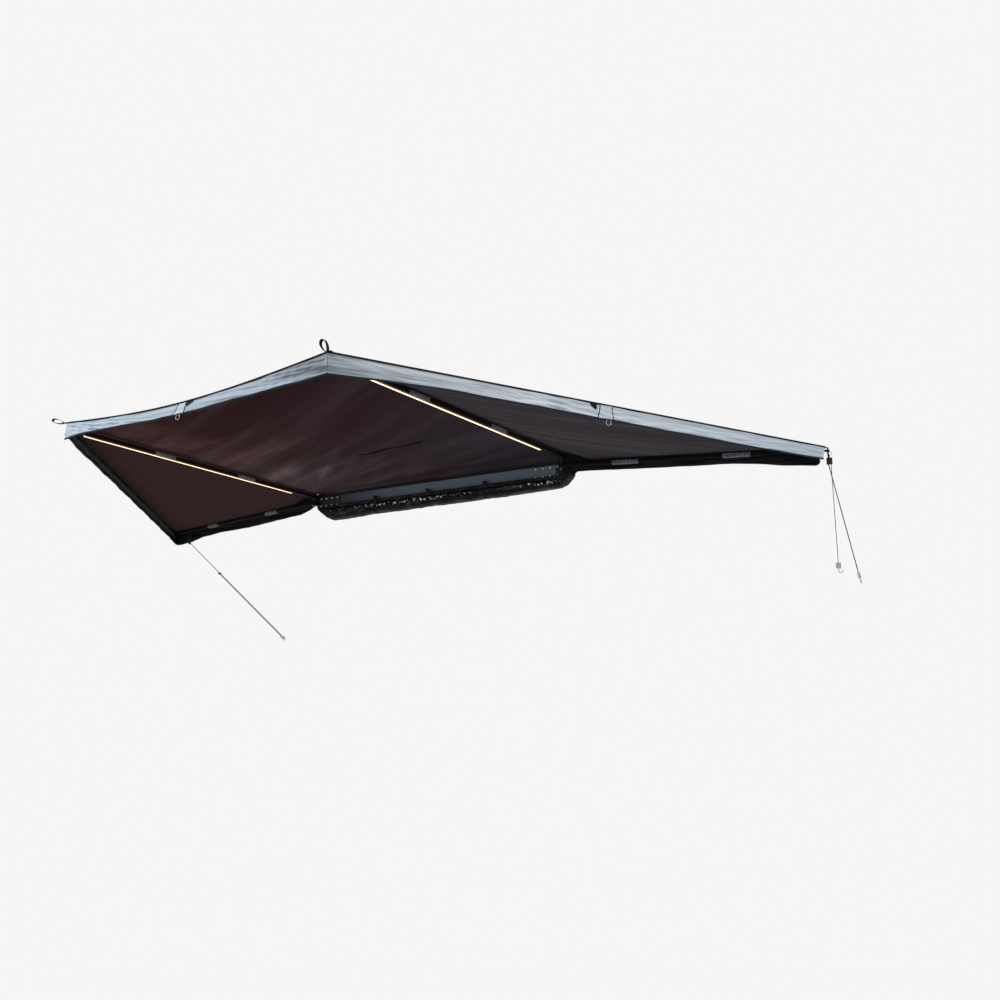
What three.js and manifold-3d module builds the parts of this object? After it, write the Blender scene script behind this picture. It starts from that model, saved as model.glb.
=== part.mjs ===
// Vehicle side awning: a backboard with a hub at each end and four arms that swing out
// under a three-panel canopy. Millimetres. +X runs forward along the backboard, -Y points
// away from the vehicle and +Z is up. The origin is the middle of the backboard's back face.

import * as THREE from 'three';
import { mergeVertices } from 'three/addons/utils/BufferGeometryUtils.js';
import Module from 'manifold-3d';

const wasm = await Module();
wasm.setup();

// Gaps and cutters
const seatGap = 0.3;
const foldGap = 2.7;
const overrun = 2;
const weld = 0.001;
const probe = 0.002;

// Backboard extrusion
const hubSpan = 2284;
const boardInset = 17;
const boardHeight = 96;
const boardDepth = 20;
const boardCorner = 3;
const boardSkin = 3;
const chamberHeight = 26;
const slotPitch = 60;
const slotMouth = 9;
const slotLip = 3;
const slotWidth = 17;
const slotDepth = 9;
const capThickness = 3;
const plugLength = 14;

// Canopy track on top of the backboard
const trackHeight = 16;
const trackDepth = 18;
const trackBore = 4;
const trackMouth = 3;

// Hubs
const topArmHeight = 90;
const pivotOut = 60;
const pivotRadius = 6;
const eyeRadius = 17;
const eyeHeight = 24;
const lugThickness = 5;
const lugRadius = 18;
const lugRootWidth = 66;
const bracketPlate = 5;
const bracketHeight = 84;
const spacerRadius = 10;
const boltHeadRadius = 5;
const boltHeadHeight = 4;
const boltShankRadius = 3;
const boltShankLength = 15;
const boltRowPitch = 57;
const boltColumnPitch = 58;
const boltColumns = 4;
const boltRows = 2;
const boltFirst = 46;
const pivotHeadRadius = 10.5;
const pivotHeadHeight = 6;
const pivotNutHeight = 9;
const pivotTail = 3;

// Arms
const armWidth = 34;
const armHeight = 22;
const armWall = 2;
const armCorner = 4;
const armStart = 62;
const neckWidth = 26;
const neckHeight = 18;
const plugDepth = 40;
const midReach = 2215;
const rearWingReach = 2196;
const frontWingReach = 1614;
const rearMidAngle = 84.6;
const frontMidAngle = 89.1;
const rearWingAngle = 171.2;
const frontWingAngle = 15.1;
const rearMidLift = 11;
const rearWingDroop = 0.72;
const frontWingDroop = 0.28;

// Strap wraps round the arms, by distance from the pivot
const wrapWall = 1.2;
const wrapLength = 170;
const rearMidWraps = [771, 1515];
const frontMidWraps = [771, 1534];
const outerWrapInset = 668;
const rearWingWraps = [592, rearWingReach - outerWrapInset];
const frontWingWraps = [430, 1130];

// Light strips under the two middle arms
const ledWidth = 16;
const ledHeight = 6;
const ledWall = 1.2;
const ledStart = 270;
const rearLedEnd = 2116;
const frontLedEnd = 1926;

// Arm tip caps
const tipCapLength = 16;
const saddleWidth = 22;
const saddleEase = 0.6;
const midSaddleEase = 2.2;
const frontMidRise = 19;
const rearMidRise = 35;
const rearWingRise = 14;
const frontWingRise = 14;

// Tie loops of webbing at the two middle corners
const webWidth = 20;
const webThickness = 2;
const loopTab = 30;
const rearLoopStart = 20;
const frontLoopStart = 4;
const loopLength = 76;
const loopWidth = 34;
const rearLoopTilt = 14;
const rearLoopTurn = 206;
const frontLoopTilt = 60;
const frontLoopTurn = 184;

// Canopy cloth
const clothThickness = 2;
const hubClear = 6;
const middleSag = 26;
const wingSag = 20;
const middleEdgeSag = 61;
const wingEdgeSag = 0;
const flapRise = 4;
const panelColumns = 12;
const panelRows = 10;
const middleRows = 15;
const midEdgeOut = 16;
const wingEdgeOut = 20;
const freeEdgeOut = 26;
const hubFan = 12;
const hemStart = 50;
const rearHemStop = 14;
const frontHemStop = 84;
const shoulderIn = 8;
const rearDrops = [[0, 104], [0.08, 96], [0.3, 92], [0.7, 86], [0.93, 92], [1, 98]];
const middleDrops = [[0, 98], [0.07, 78], [0.15, 66], [0.3, 60], [0.55, 62], [0.7, 67], [0.85, 82], [1, 104]];
const frontDrops = [[0, 104], [0.08, 95], [0.3, 80], [0.6, 80], [0.85, 82], [1, 78]];
const rearHemDrops = [
  [0, 90], [0.04, 120], [0.1, 136], [0.27, 130], [0.44, 127],
  [0.65, 103], [0.78, 106], [0.87, 122], [1, 126],
];
const frontHemDrops = [[0, 100], [0.06, 118], [0.4, 108], [0.68, 88], [0.76, 90], [0.86, 102], [1, 106]];
const valanceThickness = 2;
const valanceFold = 5;
const valanceFlare = 2;
const frontEndSlant = 4;
const cornerEase = 0.8;
const hemFold = 3;
const foldFade = 6;
const foldMix = 0.6;
const foldRatio = 2.3;
const foldPhase = 1;
const rearWaves = 7;
const middleWaves = 5;
const frontWaves = 6;
const hemWaves = 6;
const valanceColumns = 44;
const valanceRows = 3;
const hemColumns = 24;
const hemRows = 2;

// Guy points in the middle of the long valances
const patchWidth = 88;
const patchShare = 0.84;
const patchThickness = 1.4;
const ringRadius = 15;
const ringWire = 2.5;
const sleeveLength = 16;
const sleeveWall = 1.5;
const sleeveArch = 3;
const sleeveSink = 1;
const patchColumns = 4;

// Travel bag under the backboard
const bagHeight = 86;
const bagBack = 32;
const bagFront = 40;
const bagLipBack = 30.2;
const bagLipRise = 22;
const bagLipRound = 4;
const bagRearInset = 22;
const bagFrontOver = 62;
const bagEndRise = 34;
const bagEndCut = 58;
const bagCorner = 20;
const zipWidth = 10;
const zipThickness = 2;
const bagStrapShares = [0.2625, 0.482, 0.7014];
const strapWidth = 26;
const strapThickness = 1.6;
const buckleWidth = 34;
const buckleHeight = 20;
const buckleThickness = 5;

// Roof rack brackets
const rackThickness = 5;
const rackWidth = 60;
const rackFoot = 70;
const rackSlot = 9;
const rackSlotLength = 36;
const rackShare = 0.3;
const rackBoltRadius = 4;
const rackHeadRadius = 6.5;
const rackHeadHeight = 4;
const rackHeight = 92;

// Guy ropes
const ropeDiameter = 6;
const thinRopeDiameter = 4.5;
const tensionerHeight = 60;
const tensionerWidth = 34;
const tensionerDepth = 18;
const tensionerDrop = 22;
const hookWire = 5;
const hookRadius = 11;
const hookShank = 20;
const hookTip = 10;
const fittingLength = 34;
const fittingWidth = 30;
const fittingDepth = 14;
const ropeSeat = 14;
const strandGap = 13;
const clipInset = 246;
const clipLength = 16;
const clipWall = 3;
const bossLength = 24;
const bossDepth = 12;
const bossDrop = 112;
const sliderHeight = 12;
const sliderShare = 0.35;
const knotRadius = 4.5;
const knotHeight = 8;
const knotTaper = 2;
const guyRingRadius = 14;
const guyRingWire = 3;
const ringLugThickness = 6;
const ringLugHeight = 14;
const ringLugBore = 3.7;
const ringLugSide = 37;
const ringLugOut = 50;
const ringLugAhead = 66;
const rearPeg = [-1817, 311, -1036];
const frontPeg = [2862, 468, -745];
const sidePeg = [2717, 596, -663];

// Sizes that follow from the driving ones
const pivotX = hubSpan / 2;
const pivotY = -pivotOut;
const boardLength = hubSpan - 2 * boardInset;
const boardTop = boardHeight / 2;
const wrapHalf = armHeight / 2 + seatGap + wrapWall;
const ledTop = wrapHalf + seatGap;
const ledPitch = ledTop + ledHeight + foldGap + wrapHalf;
const plainPitch = 2 * wrapHalf + foldGap;
const frontMidLevel = topArmHeight;
const rearMidLevel = frontMidLevel - ledPitch - rearMidLift;
const frontWingLevel = frontMidLevel - 2 * ledPitch;
const rearWingLevel = frontWingLevel - plainPitch;
const radians = Math.PI / 180;
const rearMidDroop = -Math.asin(rearMidLift / midReach) / radians;
const topLugRise = eyeHeight / 2 + seatGap + lugThickness;
const frontCrown = frontMidLevel + topLugRise + seatGap + pivotHeadHeight + hubClear;
const rearCrown = rearMidLevel + topLugRise + seatGap + pivotHeadHeight + hubClear;
const pivotHole = pivotRadius + seatGap;

// Materials, one finish each
const finish = (color, roughness, metalness) =>
  new THREE.MeshStandardMaterial({ color, roughness, metalness });
const slate = finish(0x2c3439, 0.45, 0.6);
const blackMetal = finish(0x1b1d1f, 0.5, 0.6);
const steel = finish(0xb9bcc0, 0.3, 0.9);
const moulded = finish(0x17181a, 0.6, 0);
const tan = finish(0xb0763a, 0.6, 0);
const greyCanvas = finish(0x9aa3ad, 0.85, 0);
const darkCanvas = finish(0x2d2826, 0.9, 0);
const webbing = finish(0x131416, 0.8, 0);
const wrapCloth = finish(0x4a4750, 0.9, 0);
const pvc = finish(0x0e0f11, 0.25, 0);
const glow = finish(0xffdf9a, 0.4, 0);
const rope = finish(0x3a3733, 0.8, 0);
const paleRope = finish(0x9a958c, 0.8, 0);

const awning = new THREE.Group();

// Puts a named piece into a group
const add = (group, name, geometry, material) => {
  const piece = new THREE.Mesh(geometry, material);
  piece.name = name;
  group.add(piece);
};

// Boolean work on closed geometries
const bare = (geometry) => {
  const copy = geometry.clone();
  copy.deleteAttribute('normal');
  copy.deleteAttribute('uv');
  return mergeVertices(copy, weld);
};
const solidOf = (geometry) => {
  const clean = bare(geometry);
  return new wasm.Manifold(new wasm.Mesh({
    numProp: 3,
    vertProperties: clean.attributes.position.array,
    triVerts: Uint32Array.from(clean.index.array),
  }));
};
const geometryOf = (solid) => {
  const mesh = solid.getMesh();
  const geometry = new THREE.BufferGeometry();
  geometry.setAttribute('position', new THREE.BufferAttribute(Float32Array.from(mesh.vertProperties), 3));
  geometry.setIndex(Array.from(mesh.triVerts));
  return geometry;
};
const join = (...geometries) => geometryOf(geometries.map(solidOf).reduce((whole, next) => whole.add(next)));
const cut = (geometry, ...cutters) =>
  geometryOf(cutters.map(solidOf).reduce((whole, next) => whole.subtract(next), solidOf(geometry)));

// Simple closed shapes
const block = (x, y, z, atX, atY, atZ) => new THREE.BoxGeometry(x, y, z).translate(atX, atY, atZ);
const post = (radius, bottom, top, atX, atY, sides = 16) =>
  new THREE.CylinderGeometry(radius, radius, top - bottom, sides)
    .rotateX(Math.PI / 2).translate(atX, atY, (top + bottom) / 2);
const crossPost = (radius, from, to, atX, atZ, sides = 8) =>
  new THREE.CylinderGeometry(radius, radius, to - from, sides).translate(atX, (to + from) / 2, atZ);

// An outline with rounded corners, centred on its own origin
const roundedShape = (width, height, corner, Kind = THREE.Shape) => {
  const outline = new Kind();
  const x = width / 2 - corner;
  const y = height / 2 - corner;
  outline.absarc(x, y, corner, 0, Math.PI / 2);
  outline.absarc(-x, y, corner, Math.PI / 2, Math.PI);
  outline.absarc(-x, -y, corner, Math.PI, 1.5 * Math.PI);
  outline.absarc(x, -y, corner, 1.5 * Math.PI, 2 * Math.PI);
  return outline;
};

// Extrudes an outline drawn in (y, z) along +X from one place to another
const faceX = new THREE.Matrix4().makeBasis(
  new THREE.Vector3(0, 1, 0), new THREE.Vector3(0, 0, 1), new THREE.Vector3(1, 0, 0));
const alongX = (shape, from, to, curveSegments = 2) =>
  new THREE.ExtrudeGeometry(shape, { depth: to - from, bevelEnabled: false, curveSegments })
    .applyMatrix4(faceX).translate(from, 0, 0);
const upward = (shape, from, to, curveSegments = 8) =>
  new THREE.ExtrudeGeometry(shape, { depth: to - from, bevelEnabled: false, curveSegments })
    .translate(0, 0, from);

// A turned piece from (radius, height) pairs, its axis along +Z
const turned = (profile, sides) =>
  new THREE.LatheGeometry(profile.map(([r, z]) => new THREE.Vector2(r, z)), sides).rotateX(Math.PI / 2);

// A tube of round section along points
const tube = (points, diameter, sides, steps) => {
  const section = new THREE.Shape();
  const ring = (side) => side / sides * 2 * Math.PI;
  section.moveTo(diameter / 2, 0);
  for (let side = 1; side < sides; side++) {
    section.lineTo(diameter / 2 * Math.cos(ring(side)), diameter / 2 * Math.sin(ring(side)));
  }
  const extrudePath = new THREE.CatmullRomCurve3(points.map(([x, y, z]) => new THREE.Vector3(x, y, z)));
  return new THREE.ExtrudeGeometry(section, { steps, extrudePath, bevelEnabled: false });
};

// A closed sheet of cloth: point(u, v) gives the middle surface
const sheet = (point, columns, rows, thickness) => {
  const positions = [];
  const index = [];
  const normalAt = (u, v) => {
    const across = point(Math.min(u + probe, 1), v).sub(point(Math.max(u - probe, 0), v));
    const down = point(u, Math.min(v + probe, 1)).sub(point(u, Math.max(v - probe, 0)));
    return across.cross(down).normalize();
  };
  const layer = (columns + 1) * (rows + 1);
  for (const side of [0.5, -0.5]) {
    for (let row = 0; row <= rows; row++) {
      for (let column = 0; column <= columns; column++) {
        const u = column / columns;
        const v = row / rows;
        const spot = point(u, v).addScaledVector(normalAt(u, v), side * thickness);
        positions.push(spot.x, spot.y, spot.z);
      }
    }
  }
  const at = (row, column, low) => row * (columns + 1) + column + (low ? layer : 0);
  const quad = (a, b, c, d) => index.push(a, b, c, a, c, d);
  for (let row = 0; row < rows; row++) {
    for (let column = 0; column < columns; column++) {
      quad(at(row, column), at(row, column + 1), at(row + 1, column + 1), at(row + 1, column));
      quad(at(row, column, 1), at(row + 1, column, 1), at(row + 1, column + 1, 1), at(row, column + 1, 1));
    }
    quad(at(row, 0, 1), at(row, 0), at(row + 1, 0), at(row + 1, 0, 1));
    quad(at(row, columns), at(row, columns, 1), at(row + 1, columns, 1), at(row + 1, columns));
  }
  for (let column = 0; column < columns; column++) {
    quad(at(0, column), at(0, column, 1), at(0, column + 1, 1), at(0, column + 1));
    quad(at(rows, column + 1), at(rows, column + 1, 1), at(rows, column, 1), at(rows, column));
  }
  const geometry = new THREE.BufferGeometry();
  geometry.setAttribute('position', new THREE.Float32BufferAttribute(positions, 3));
  geometry.setIndex(index);
  return geometry;
};

// Bolt places on each hub bracket, in (distance inboard of the pivot, height)
const boltPlaces = [];
for (let column = 0; column < boltColumns; column++) {
  for (let row = 0; row < boltRows; row++) {
    boltPlaces.push([boltFirst + column * boltColumnPitch, (row - (boltRows - 1) / 2) * boltRowPitch]);
  }
}
const hubs = {
  rear: { side: -1, upper: rearMidLevel, lower: rearWingLevel },
  front: { side: 1, upper: frontMidLevel, lower: frontWingLevel },
};

// The backboard: a flat-faced extrusion with a chamber and two slots for the rack bolts
const boardShape = new THREE.Shape();
boardShape.moveTo(-boardDepth + boardCorner, -boardTop);
boardShape.lineTo(0, -boardTop);
for (const middle of [-slotPitch / 2, slotPitch / 2]) {
  boardShape.lineTo(0, middle - slotMouth / 2);
  boardShape.lineTo(-slotLip, middle - slotMouth / 2);
  boardShape.lineTo(-slotLip, middle - slotWidth / 2);
  boardShape.lineTo(-slotDepth, middle - slotWidth / 2);
  boardShape.lineTo(-slotDepth, middle + slotWidth / 2);
  boardShape.lineTo(-slotLip, middle + slotWidth / 2);
  boardShape.lineTo(-slotLip, middle + slotMouth / 2);
  boardShape.lineTo(0, middle + slotMouth / 2);
}
boardShape.lineTo(0, boardTop);
boardShape.lineTo(-boardDepth + boardCorner, boardTop);
boardShape.absarc(-boardDepth + boardCorner, boardTop - boardCorner, boardCorner, Math.PI / 2, Math.PI);
boardShape.absarc(-boardDepth + boardCorner, -boardTop + boardCorner, boardCorner, Math.PI, 1.5 * Math.PI);
const chamberDepth = boardDepth - 2 * boardSkin;
const chamberHole = new THREE.Path();
chamberHole.moveTo(-boardDepth / 2 - chamberDepth / 2, -chamberHeight / 2);
chamberHole.lineTo(-boardDepth / 2 + chamberDepth / 2, -chamberHeight / 2);
chamberHole.lineTo(-boardDepth / 2 + chamberDepth / 2, chamberHeight / 2);
chamberHole.lineTo(-boardDepth / 2 - chamberDepth / 2, chamberHeight / 2);
boardShape.holes.push(chamberHole);
const boltBore = boltShankRadius + seatGap;
const plateBack = -boardDepth - seatGap;
const plateFront = plateBack - bracketPlate;
const boltTip = plateFront + boltShankLength;
const boardBores = Object.values(hubs).flatMap(({ side }) => boltPlaces.map(([inboard, height]) =>
  crossPost(boltBore, -boardDepth - overrun, boltTip + seatGap, side * (pivotX - inboard), height)));
add(awning, 'backboard', cut(alongX(boardShape, -boardLength / 2, boardLength / 2), ...boardBores), slate);

// Moulded caps that close the backboard's ends
const boardCap = (side) => {
  const outside = alongX(roundedShape(boardDepth, boardHeight, boardCorner), 0, capThickness)
    .translate(0, -boardDepth / 2, 0);
  const inside = block(plugLength + overrun, chamberDepth - 2 * seatGap, chamberHeight - 2 * seatGap,
    -(plugLength - overrun) / 2, -boardDepth / 2, 0);
  return join(outside, inside).translate(boardLength / 2 + seatGap, 0, 0)
    .rotateZ(side > 0 ? 0 : Math.PI).translate(0, side > 0 ? 0 : -boardDepth, 0);
};
add(awning, 'front_board_cap', boardCap(1), moulded);
add(awning, 'rear_board_cap', boardCap(-1), moulded);

// The track on top of the backboard that takes the canopy's corded edge
const trackY = -boardDepth / 2;
const trackBottom = boardTop + seatGap;
const trackTop = trackBottom + trackHeight;
const boreHeight = trackTop - trackBore - boardSkin / 2;
const mouthTurn = Math.asin(trackMouth / 2 / trackBore);
const trackShape = new THREE.Shape();
trackShape.moveTo(trackY + trackDepth / 2, trackBottom);
trackShape.lineTo(trackY + trackDepth / 2, trackTop);
trackShape.lineTo(trackY + trackMouth / 2, trackTop);
const mouthStart = Math.PI / 2 - mouthTurn;
const mouthEnd = Math.PI / 2 + mouthTurn - 2 * Math.PI;
trackShape.absarc(trackY, boreHeight, trackBore, mouthStart, mouthEnd, true);
trackShape.lineTo(trackY - trackMouth / 2, trackTop);
trackShape.lineTo(trackY - trackDepth / 2, trackTop);
trackShape.lineTo(trackY - trackDepth / 2, trackBottom);
const trackEnd = pivotX - lugRootWidth / 2 - boardInset;
add(awning, 'canopy_track', alongX(trackShape, -trackEnd, trackEnd, 6), slate);

// A cap screw lying along Y with its tip at the origin
const capScrew = turned([[0, 0], [boltShankRadius, 0], [boltShankRadius, boltShankLength],
  [boltHeadRadius, boltShankLength], [boltHeadRadius, boltShankLength + boltHeadHeight],
  [0, boltShankLength + boltHeadHeight]], 8).rotateX(Math.PI / 2);

// Hub brackets: a plate with its eight cap screws, three lugs and the sleeve under the middle lug
const tongueShape = () => {
  const reach = pivotOut + plateFront;
  const tongue = new THREE.Shape();
  tongue.moveTo(-lugRootWidth / 2, reach + overrun);
  tongue.lineTo(-lugRadius, 0);
  tongue.absarc(0, 0, lugRadius, Math.PI, 2 * Math.PI);
  tongue.lineTo(lugRootWidth / 2, reach + overrun);
  return tongue;
};
const hubBracket = ({ side, upper, lower }) => {
  const lugBottoms = [
    upper + eyeHeight / 2 + seatGap,
    upper - eyeHeight / 2 - seatGap - lugThickness,
    lower - eyeHeight / 2 - seatGap - lugThickness,
  ];
  const middle = (plateBack + plateFront) / 2;
  const plateLength = boltFirst + (boltColumns - 0.5) * boltColumnPitch;
  const pieces = [
    block(plateLength, bracketPlate, bracketHeight, -side * plateLength / 2, middle, 0),
    block(lugRootWidth, bracketPlate, lugBottoms[0] + lugThickness - lugBottoms[2], 0, middle,
      (lugBottoms[0] + lugThickness + lugBottoms[2]) / 2),
    ...lugBottoms.map((bottom) =>
      upward(tongueShape(), bottom, bottom + lugThickness).translate(0, pivotY, 0)),
  ];
  const sleeve = post(spacerRadius, lower + eyeHeight / 2 + seatGap, lugBottoms[1] + overrun, 0, pivotY);
  const screws = boltPlaces.map(([inboard, height]) =>
    capScrew.clone().translate(-side * inboard, boltTip, height));
  const bore = post(pivotHole, lugBottoms[2] - overrun, lugBottoms[0] + lugThickness + overrun, 0, pivotY);
  return cut(join(...pieces, sleeve, ...screws), bore).translate(side * pivotX, 0, 0);
};
add(awning, 'rear_hub_bracket', hubBracket(hubs.rear), slate);
add(awning, 'front_hub_bracket', hubBracket(hubs.front), slate);

// Pivot bolts, each with its nut run up
const pivotBolt = ({ side, upper, lower }) => {
  const seat = upper + topLugRise + seatGap;
  const nutTop = lower - topLugRise - seatGap;
  const nut = post(pivotHeadRadius, nutTop - pivotNutHeight, nutTop, 0, 0, 6);
  const tail = nutTop - pivotNutHeight - pivotTail;
  return join(turned([[0, tail], [pivotRadius, tail], [pivotRadius, seat], [pivotHeadRadius, seat],
    [pivotHeadRadius, seat + pivotHeadHeight], [0, seat + pivotHeadHeight]], 16), nut)
    .translate(side * pivotX, pivotY, 0);
};
add(awning, 'rear_pivot_bolt', pivotBolt(hubs.rear), steel);
add(awning, 'front_pivot_bolt', pivotBolt(hubs.front), steel);

// Roof rack brackets behind the backboard, each with the two bolts that run in the slots
const rackX = rackShare * hubSpan;
const rackSeat = seatGap + rackThickness;
const slotHeadRadius = slotWidth / 2 - 3 * seatGap;
const rackBolt = turned([[0, -slotDepth + seatGap], [slotHeadRadius, -slotDepth + seatGap],
  [slotHeadRadius, -slotLip - seatGap], [rackBoltRadius, -slotLip - seatGap],
  [rackBoltRadius, rackSeat], [rackHeadRadius, rackSeat], [rackHeadRadius, rackSeat + rackHeadHeight],
  [0, rackSeat + rackHeadHeight]], 12).rotateX(-Math.PI / 2);
const rackBracket = (x) => {
  const flange = block(rackWidth, rackThickness, rackHeight, 0, seatGap + rackThickness / 2, 0);
  const footLevel = (rackThickness - rackHeight) / 2;
  const foot = block(rackWidth, rackFoot, rackThickness, 0, seatGap + rackFoot / 2, footLevel);
  const footSlot = upward(roundedShape(rackSlot, rackSlotLength, rackSlot / 2), -rackHeight / 2 - overrun,
    -rackHeight / 2 + rackThickness + overrun, 4).translate(0, seatGap + rackThickness + rackFoot / 2, 0);
  const bolts = [-slotPitch / 2, slotPitch / 2].map((height) => rackBolt.clone().translate(0, 0, height));
  return join(cut(join(flange, foot), footSlot), ...bolts).translate(x, 0, 0);
};
add(awning, 'rear_rack_bracket', rackBracket(-rackX), blackMetal);
add(awning, 'front_rack_bracket', rackBracket(rackX), blackMetal);

// The travel bag hangs from three straps under the backboard
const bagTop = -boardTop - 2 * seatGap - strapThickness;
const bagBottom = bagTop - bagHeight;
const bagFrom = -pivotX + bagRearInset;
const bagTo = pivotX + bagFrontOver;
const bagSection = (grow, Kind = THREE.Shape) => {
  const round = bagCorner + grow;
  const lip = bagLipRound + grow;
  const back = bagBack + grow;
  const front = -bagFront - grow;
  const bottom = bagBottom - grow;
  const lipTop = bagTop + bagLipRise + grow;
  const outline = new Kind();
  outline.moveTo(back, bottom + round);
  outline.lineTo(back, bagTop + grow);
  outline.lineTo(-bagLipBack + grow, bagTop + grow);
  outline.lineTo(-bagLipBack + grow, lipTop);
  outline.absarc(front + lip, lipTop - lip, lip, Math.PI / 2, Math.PI);
  outline.absarc(front + round, bottom + round, round, Math.PI, 1.5 * Math.PI);
  outline.absarc(back - round, bottom + round, round, 1.5 * Math.PI, 2 * Math.PI);
  return outline;
};
const bagSide = new THREE.Shape();
const bagShoulder = bagTop + bagLipRise + overrun;
bagSide.moveTo(bagFrom, bagShoulder);
bagSide.lineTo(bagFrom, bagBottom + bagEndCut + bagEndRise);
bagSide.lineTo(bagFrom + bagEndRise, bagBottom + bagEndRise / 2);
bagSide.lineTo(bagFrom + bagEndCut + bagEndRise, bagBottom - overrun);
bagSide.lineTo(bagTo - bagEndCut, bagBottom - overrun);
bagSide.lineTo(bagTo - bagEndRise / 2, bagBottom + bagEndCut);
bagSide.lineTo(bagTo, bagBottom + bagEndCut + bagEndRise);
bagSide.lineTo(bagTo, bagShoulder);
const bagSlab = new THREE.ExtrudeGeometry(bagSide, { depth: 2 * (bagFront + bagBack), bevelEnabled: false })
  .rotateX(Math.PI / 2).translate(0, bagFront + bagBack, 0);
const zipHeight = bagTop - zipWidth;
const zipFrom = bagFrom + bagEndRise;
const zipTo = bagTo - bagEndRise;
const zipMiddle = (zipFrom + zipTo) / 2;
const zipGroove = block(zipTo - zipFrom + 2 * seatGap, 2 * (zipThickness + seatGap), zipWidth + 2 * seatGap,
  zipMiddle, -bagFront, zipHeight);
const bagBody = alongX(bagSection(0), bagFrom, bagTo, 4);
add(awning, 'travel_bag', cut(geometryOf(solidOf(bagBody).intersect(solidOf(bagSlab))), zipGroove), pvc);
const zipY = -bagFront + zipThickness / 2;
const zip = block(zipTo - zipFrom, zipThickness, zipWidth, zipMiddle, zipY, zipHeight);
add(awning, 'bag_zip', zip, blackMetal);
const buckleY = -bagFront - seatGap - strapThickness - buckleThickness / 2;
const buckleZ = zipHeight - zipWidth - buckleHeight;
const buckleSink = overrun / 2;
const bagBand = (x) => {
  const outline = bagSection(seatGap + strapThickness);
  outline.holes.push(bagSection(seatGap, THREE.Path));
  const band = alongX(outline, x - strapWidth / 2, x + strapWidth / 2, 4);
  const buckleDepth = buckleThickness + buckleSink;
  const buckle = block(buckleWidth, buckleDepth, buckleHeight, x, buckleY + buckleSink / 2, buckleZ);
  return join(band, buckle);
};
bagStrapShares.forEach((share, place) =>
  add(awning, `bag_strap_${place + 1}`, bagBand(bagFrom + share * (bagTo - bagFrom)), webbing));

// The four arms: where they hang, which way they point and what they carry
const arms = {
  rearMid: {
    hub: hubs.rear, level: rearMidLevel, angle: -rearMidAngle, droop: rearMidDroop, reach: midReach,
    rise: rearMidRise, ease: midSaddleEase, wraps: rearMidWraps, ledEnd: rearLedEnd,
  },
  frontMid: {
    hub: hubs.front, level: frontMidLevel, angle: -frontMidAngle, droop: 0, reach: midReach,
    rise: frontMidRise, ease: midSaddleEase, wraps: frontMidWraps, ledEnd: frontLedEnd,
  },
  rearWing: {
    hub: hubs.rear, level: rearWingLevel, angle: rearWingAngle, droop: rearWingDroop, reach: rearWingReach,
    rise: rearWingRise, ease: saddleEase, wraps: rearWingWraps,
  },
  frontWing: {
    hub: hubs.front, level: frontWingLevel, angle: frontWingAngle, droop: frontWingDroop, reach: frontWingReach,
    rise: frontWingRise, ease: saddleEase, wraps: frontWingWraps,
  },
};
const turnArm = (arm, geometry) => geometry.rotateZ(arm.angle * radians)
  .translate(arm.hub.side * pivotX, pivotY, arm.level);
const placeArm = (arm, geometry) => turnArm(arm, geometry.rotateY(arm.droop * radians));
const armPoint = (arm, along, aside, up) => new THREE.Vector3(along, aside, up)
  .applyAxisAngle(new THREE.Vector3(0, 1, 0), arm.droop * radians)
  .applyAxisAngle(new THREE.Vector3(0, 0, 1), arm.angle * radians)
  .add(new THREE.Vector3(arm.hub.side * pivotX, pivotY, arm.level));

// Arm parts in the arm's own frame: +X runs from the pivot to the tip
const insideWidth = armWidth - 2 * armWall - 2 * seatGap;
const insideHeight = armHeight - 2 * armWall - 2 * seatGap;
const plugFrom = (start) =>
  alongX(roundedShape(insideWidth, insideHeight, armWall), start, start + plugDepth);
const knuckle = (arm) => {
  const neckEnd = armStart - seatGap;
  const neck = block(neckEnd, neckWidth, neckHeight, neckEnd / 2, 0, 0);
  const plug = plugFrom(armStart - overrun);
  const stem = join(neck, plug).rotateY(arm.droop * radians);
  const eye = post(eyeRadius, -eyeHeight / 2, eyeHeight / 2, 0, 0, 24);
  return turnArm(arm, cut(join(stem, eye), post(pivotHole, -eyeHeight, eyeHeight, 0, 0)));
};
const beam = (arm) => {
  const outline = roundedShape(armWidth, armHeight, armCorner);
  outline.holes.push(roundedShape(armWidth - 2 * armWall, armHeight - 2 * armWall, armWall, THREE.Path));
  return placeArm(arm, alongX(outline, armStart, arm.reach - tipCapLength - seatGap));
};
const tipCap = (arm, ...extras) => {
  const start = arm.reach - tipCapLength;
  const head = alongX(roundedShape(armWidth, armHeight, armCorner), start, arm.reach);
  const plug = plugFrom(start + overrun - plugDepth);
  const saddleRise = arm.rise - arm.ease;
  const saddle = block(tipCapLength, saddleWidth, saddleRise, start + tipCapLength / 2, 0, saddleRise / 2);
  return placeArm(arm, join(head, plug, saddle, ...extras));
};
const wrapBand = (from, length) => {
  const grow = 2 * seatGap;
  const wide = armWidth + grow + 2 * wrapWall;
  const high = armHeight + grow + 2 * wrapWall;
  const outline = roundedShape(wide, high, armCorner + wrapWall);
  outline.holes.push(roundedShape(armWidth + grow, armHeight + grow, armCorner, THREE.Path));
  return alongX(outline, from - length / 2, from + length / 2);
};
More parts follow.
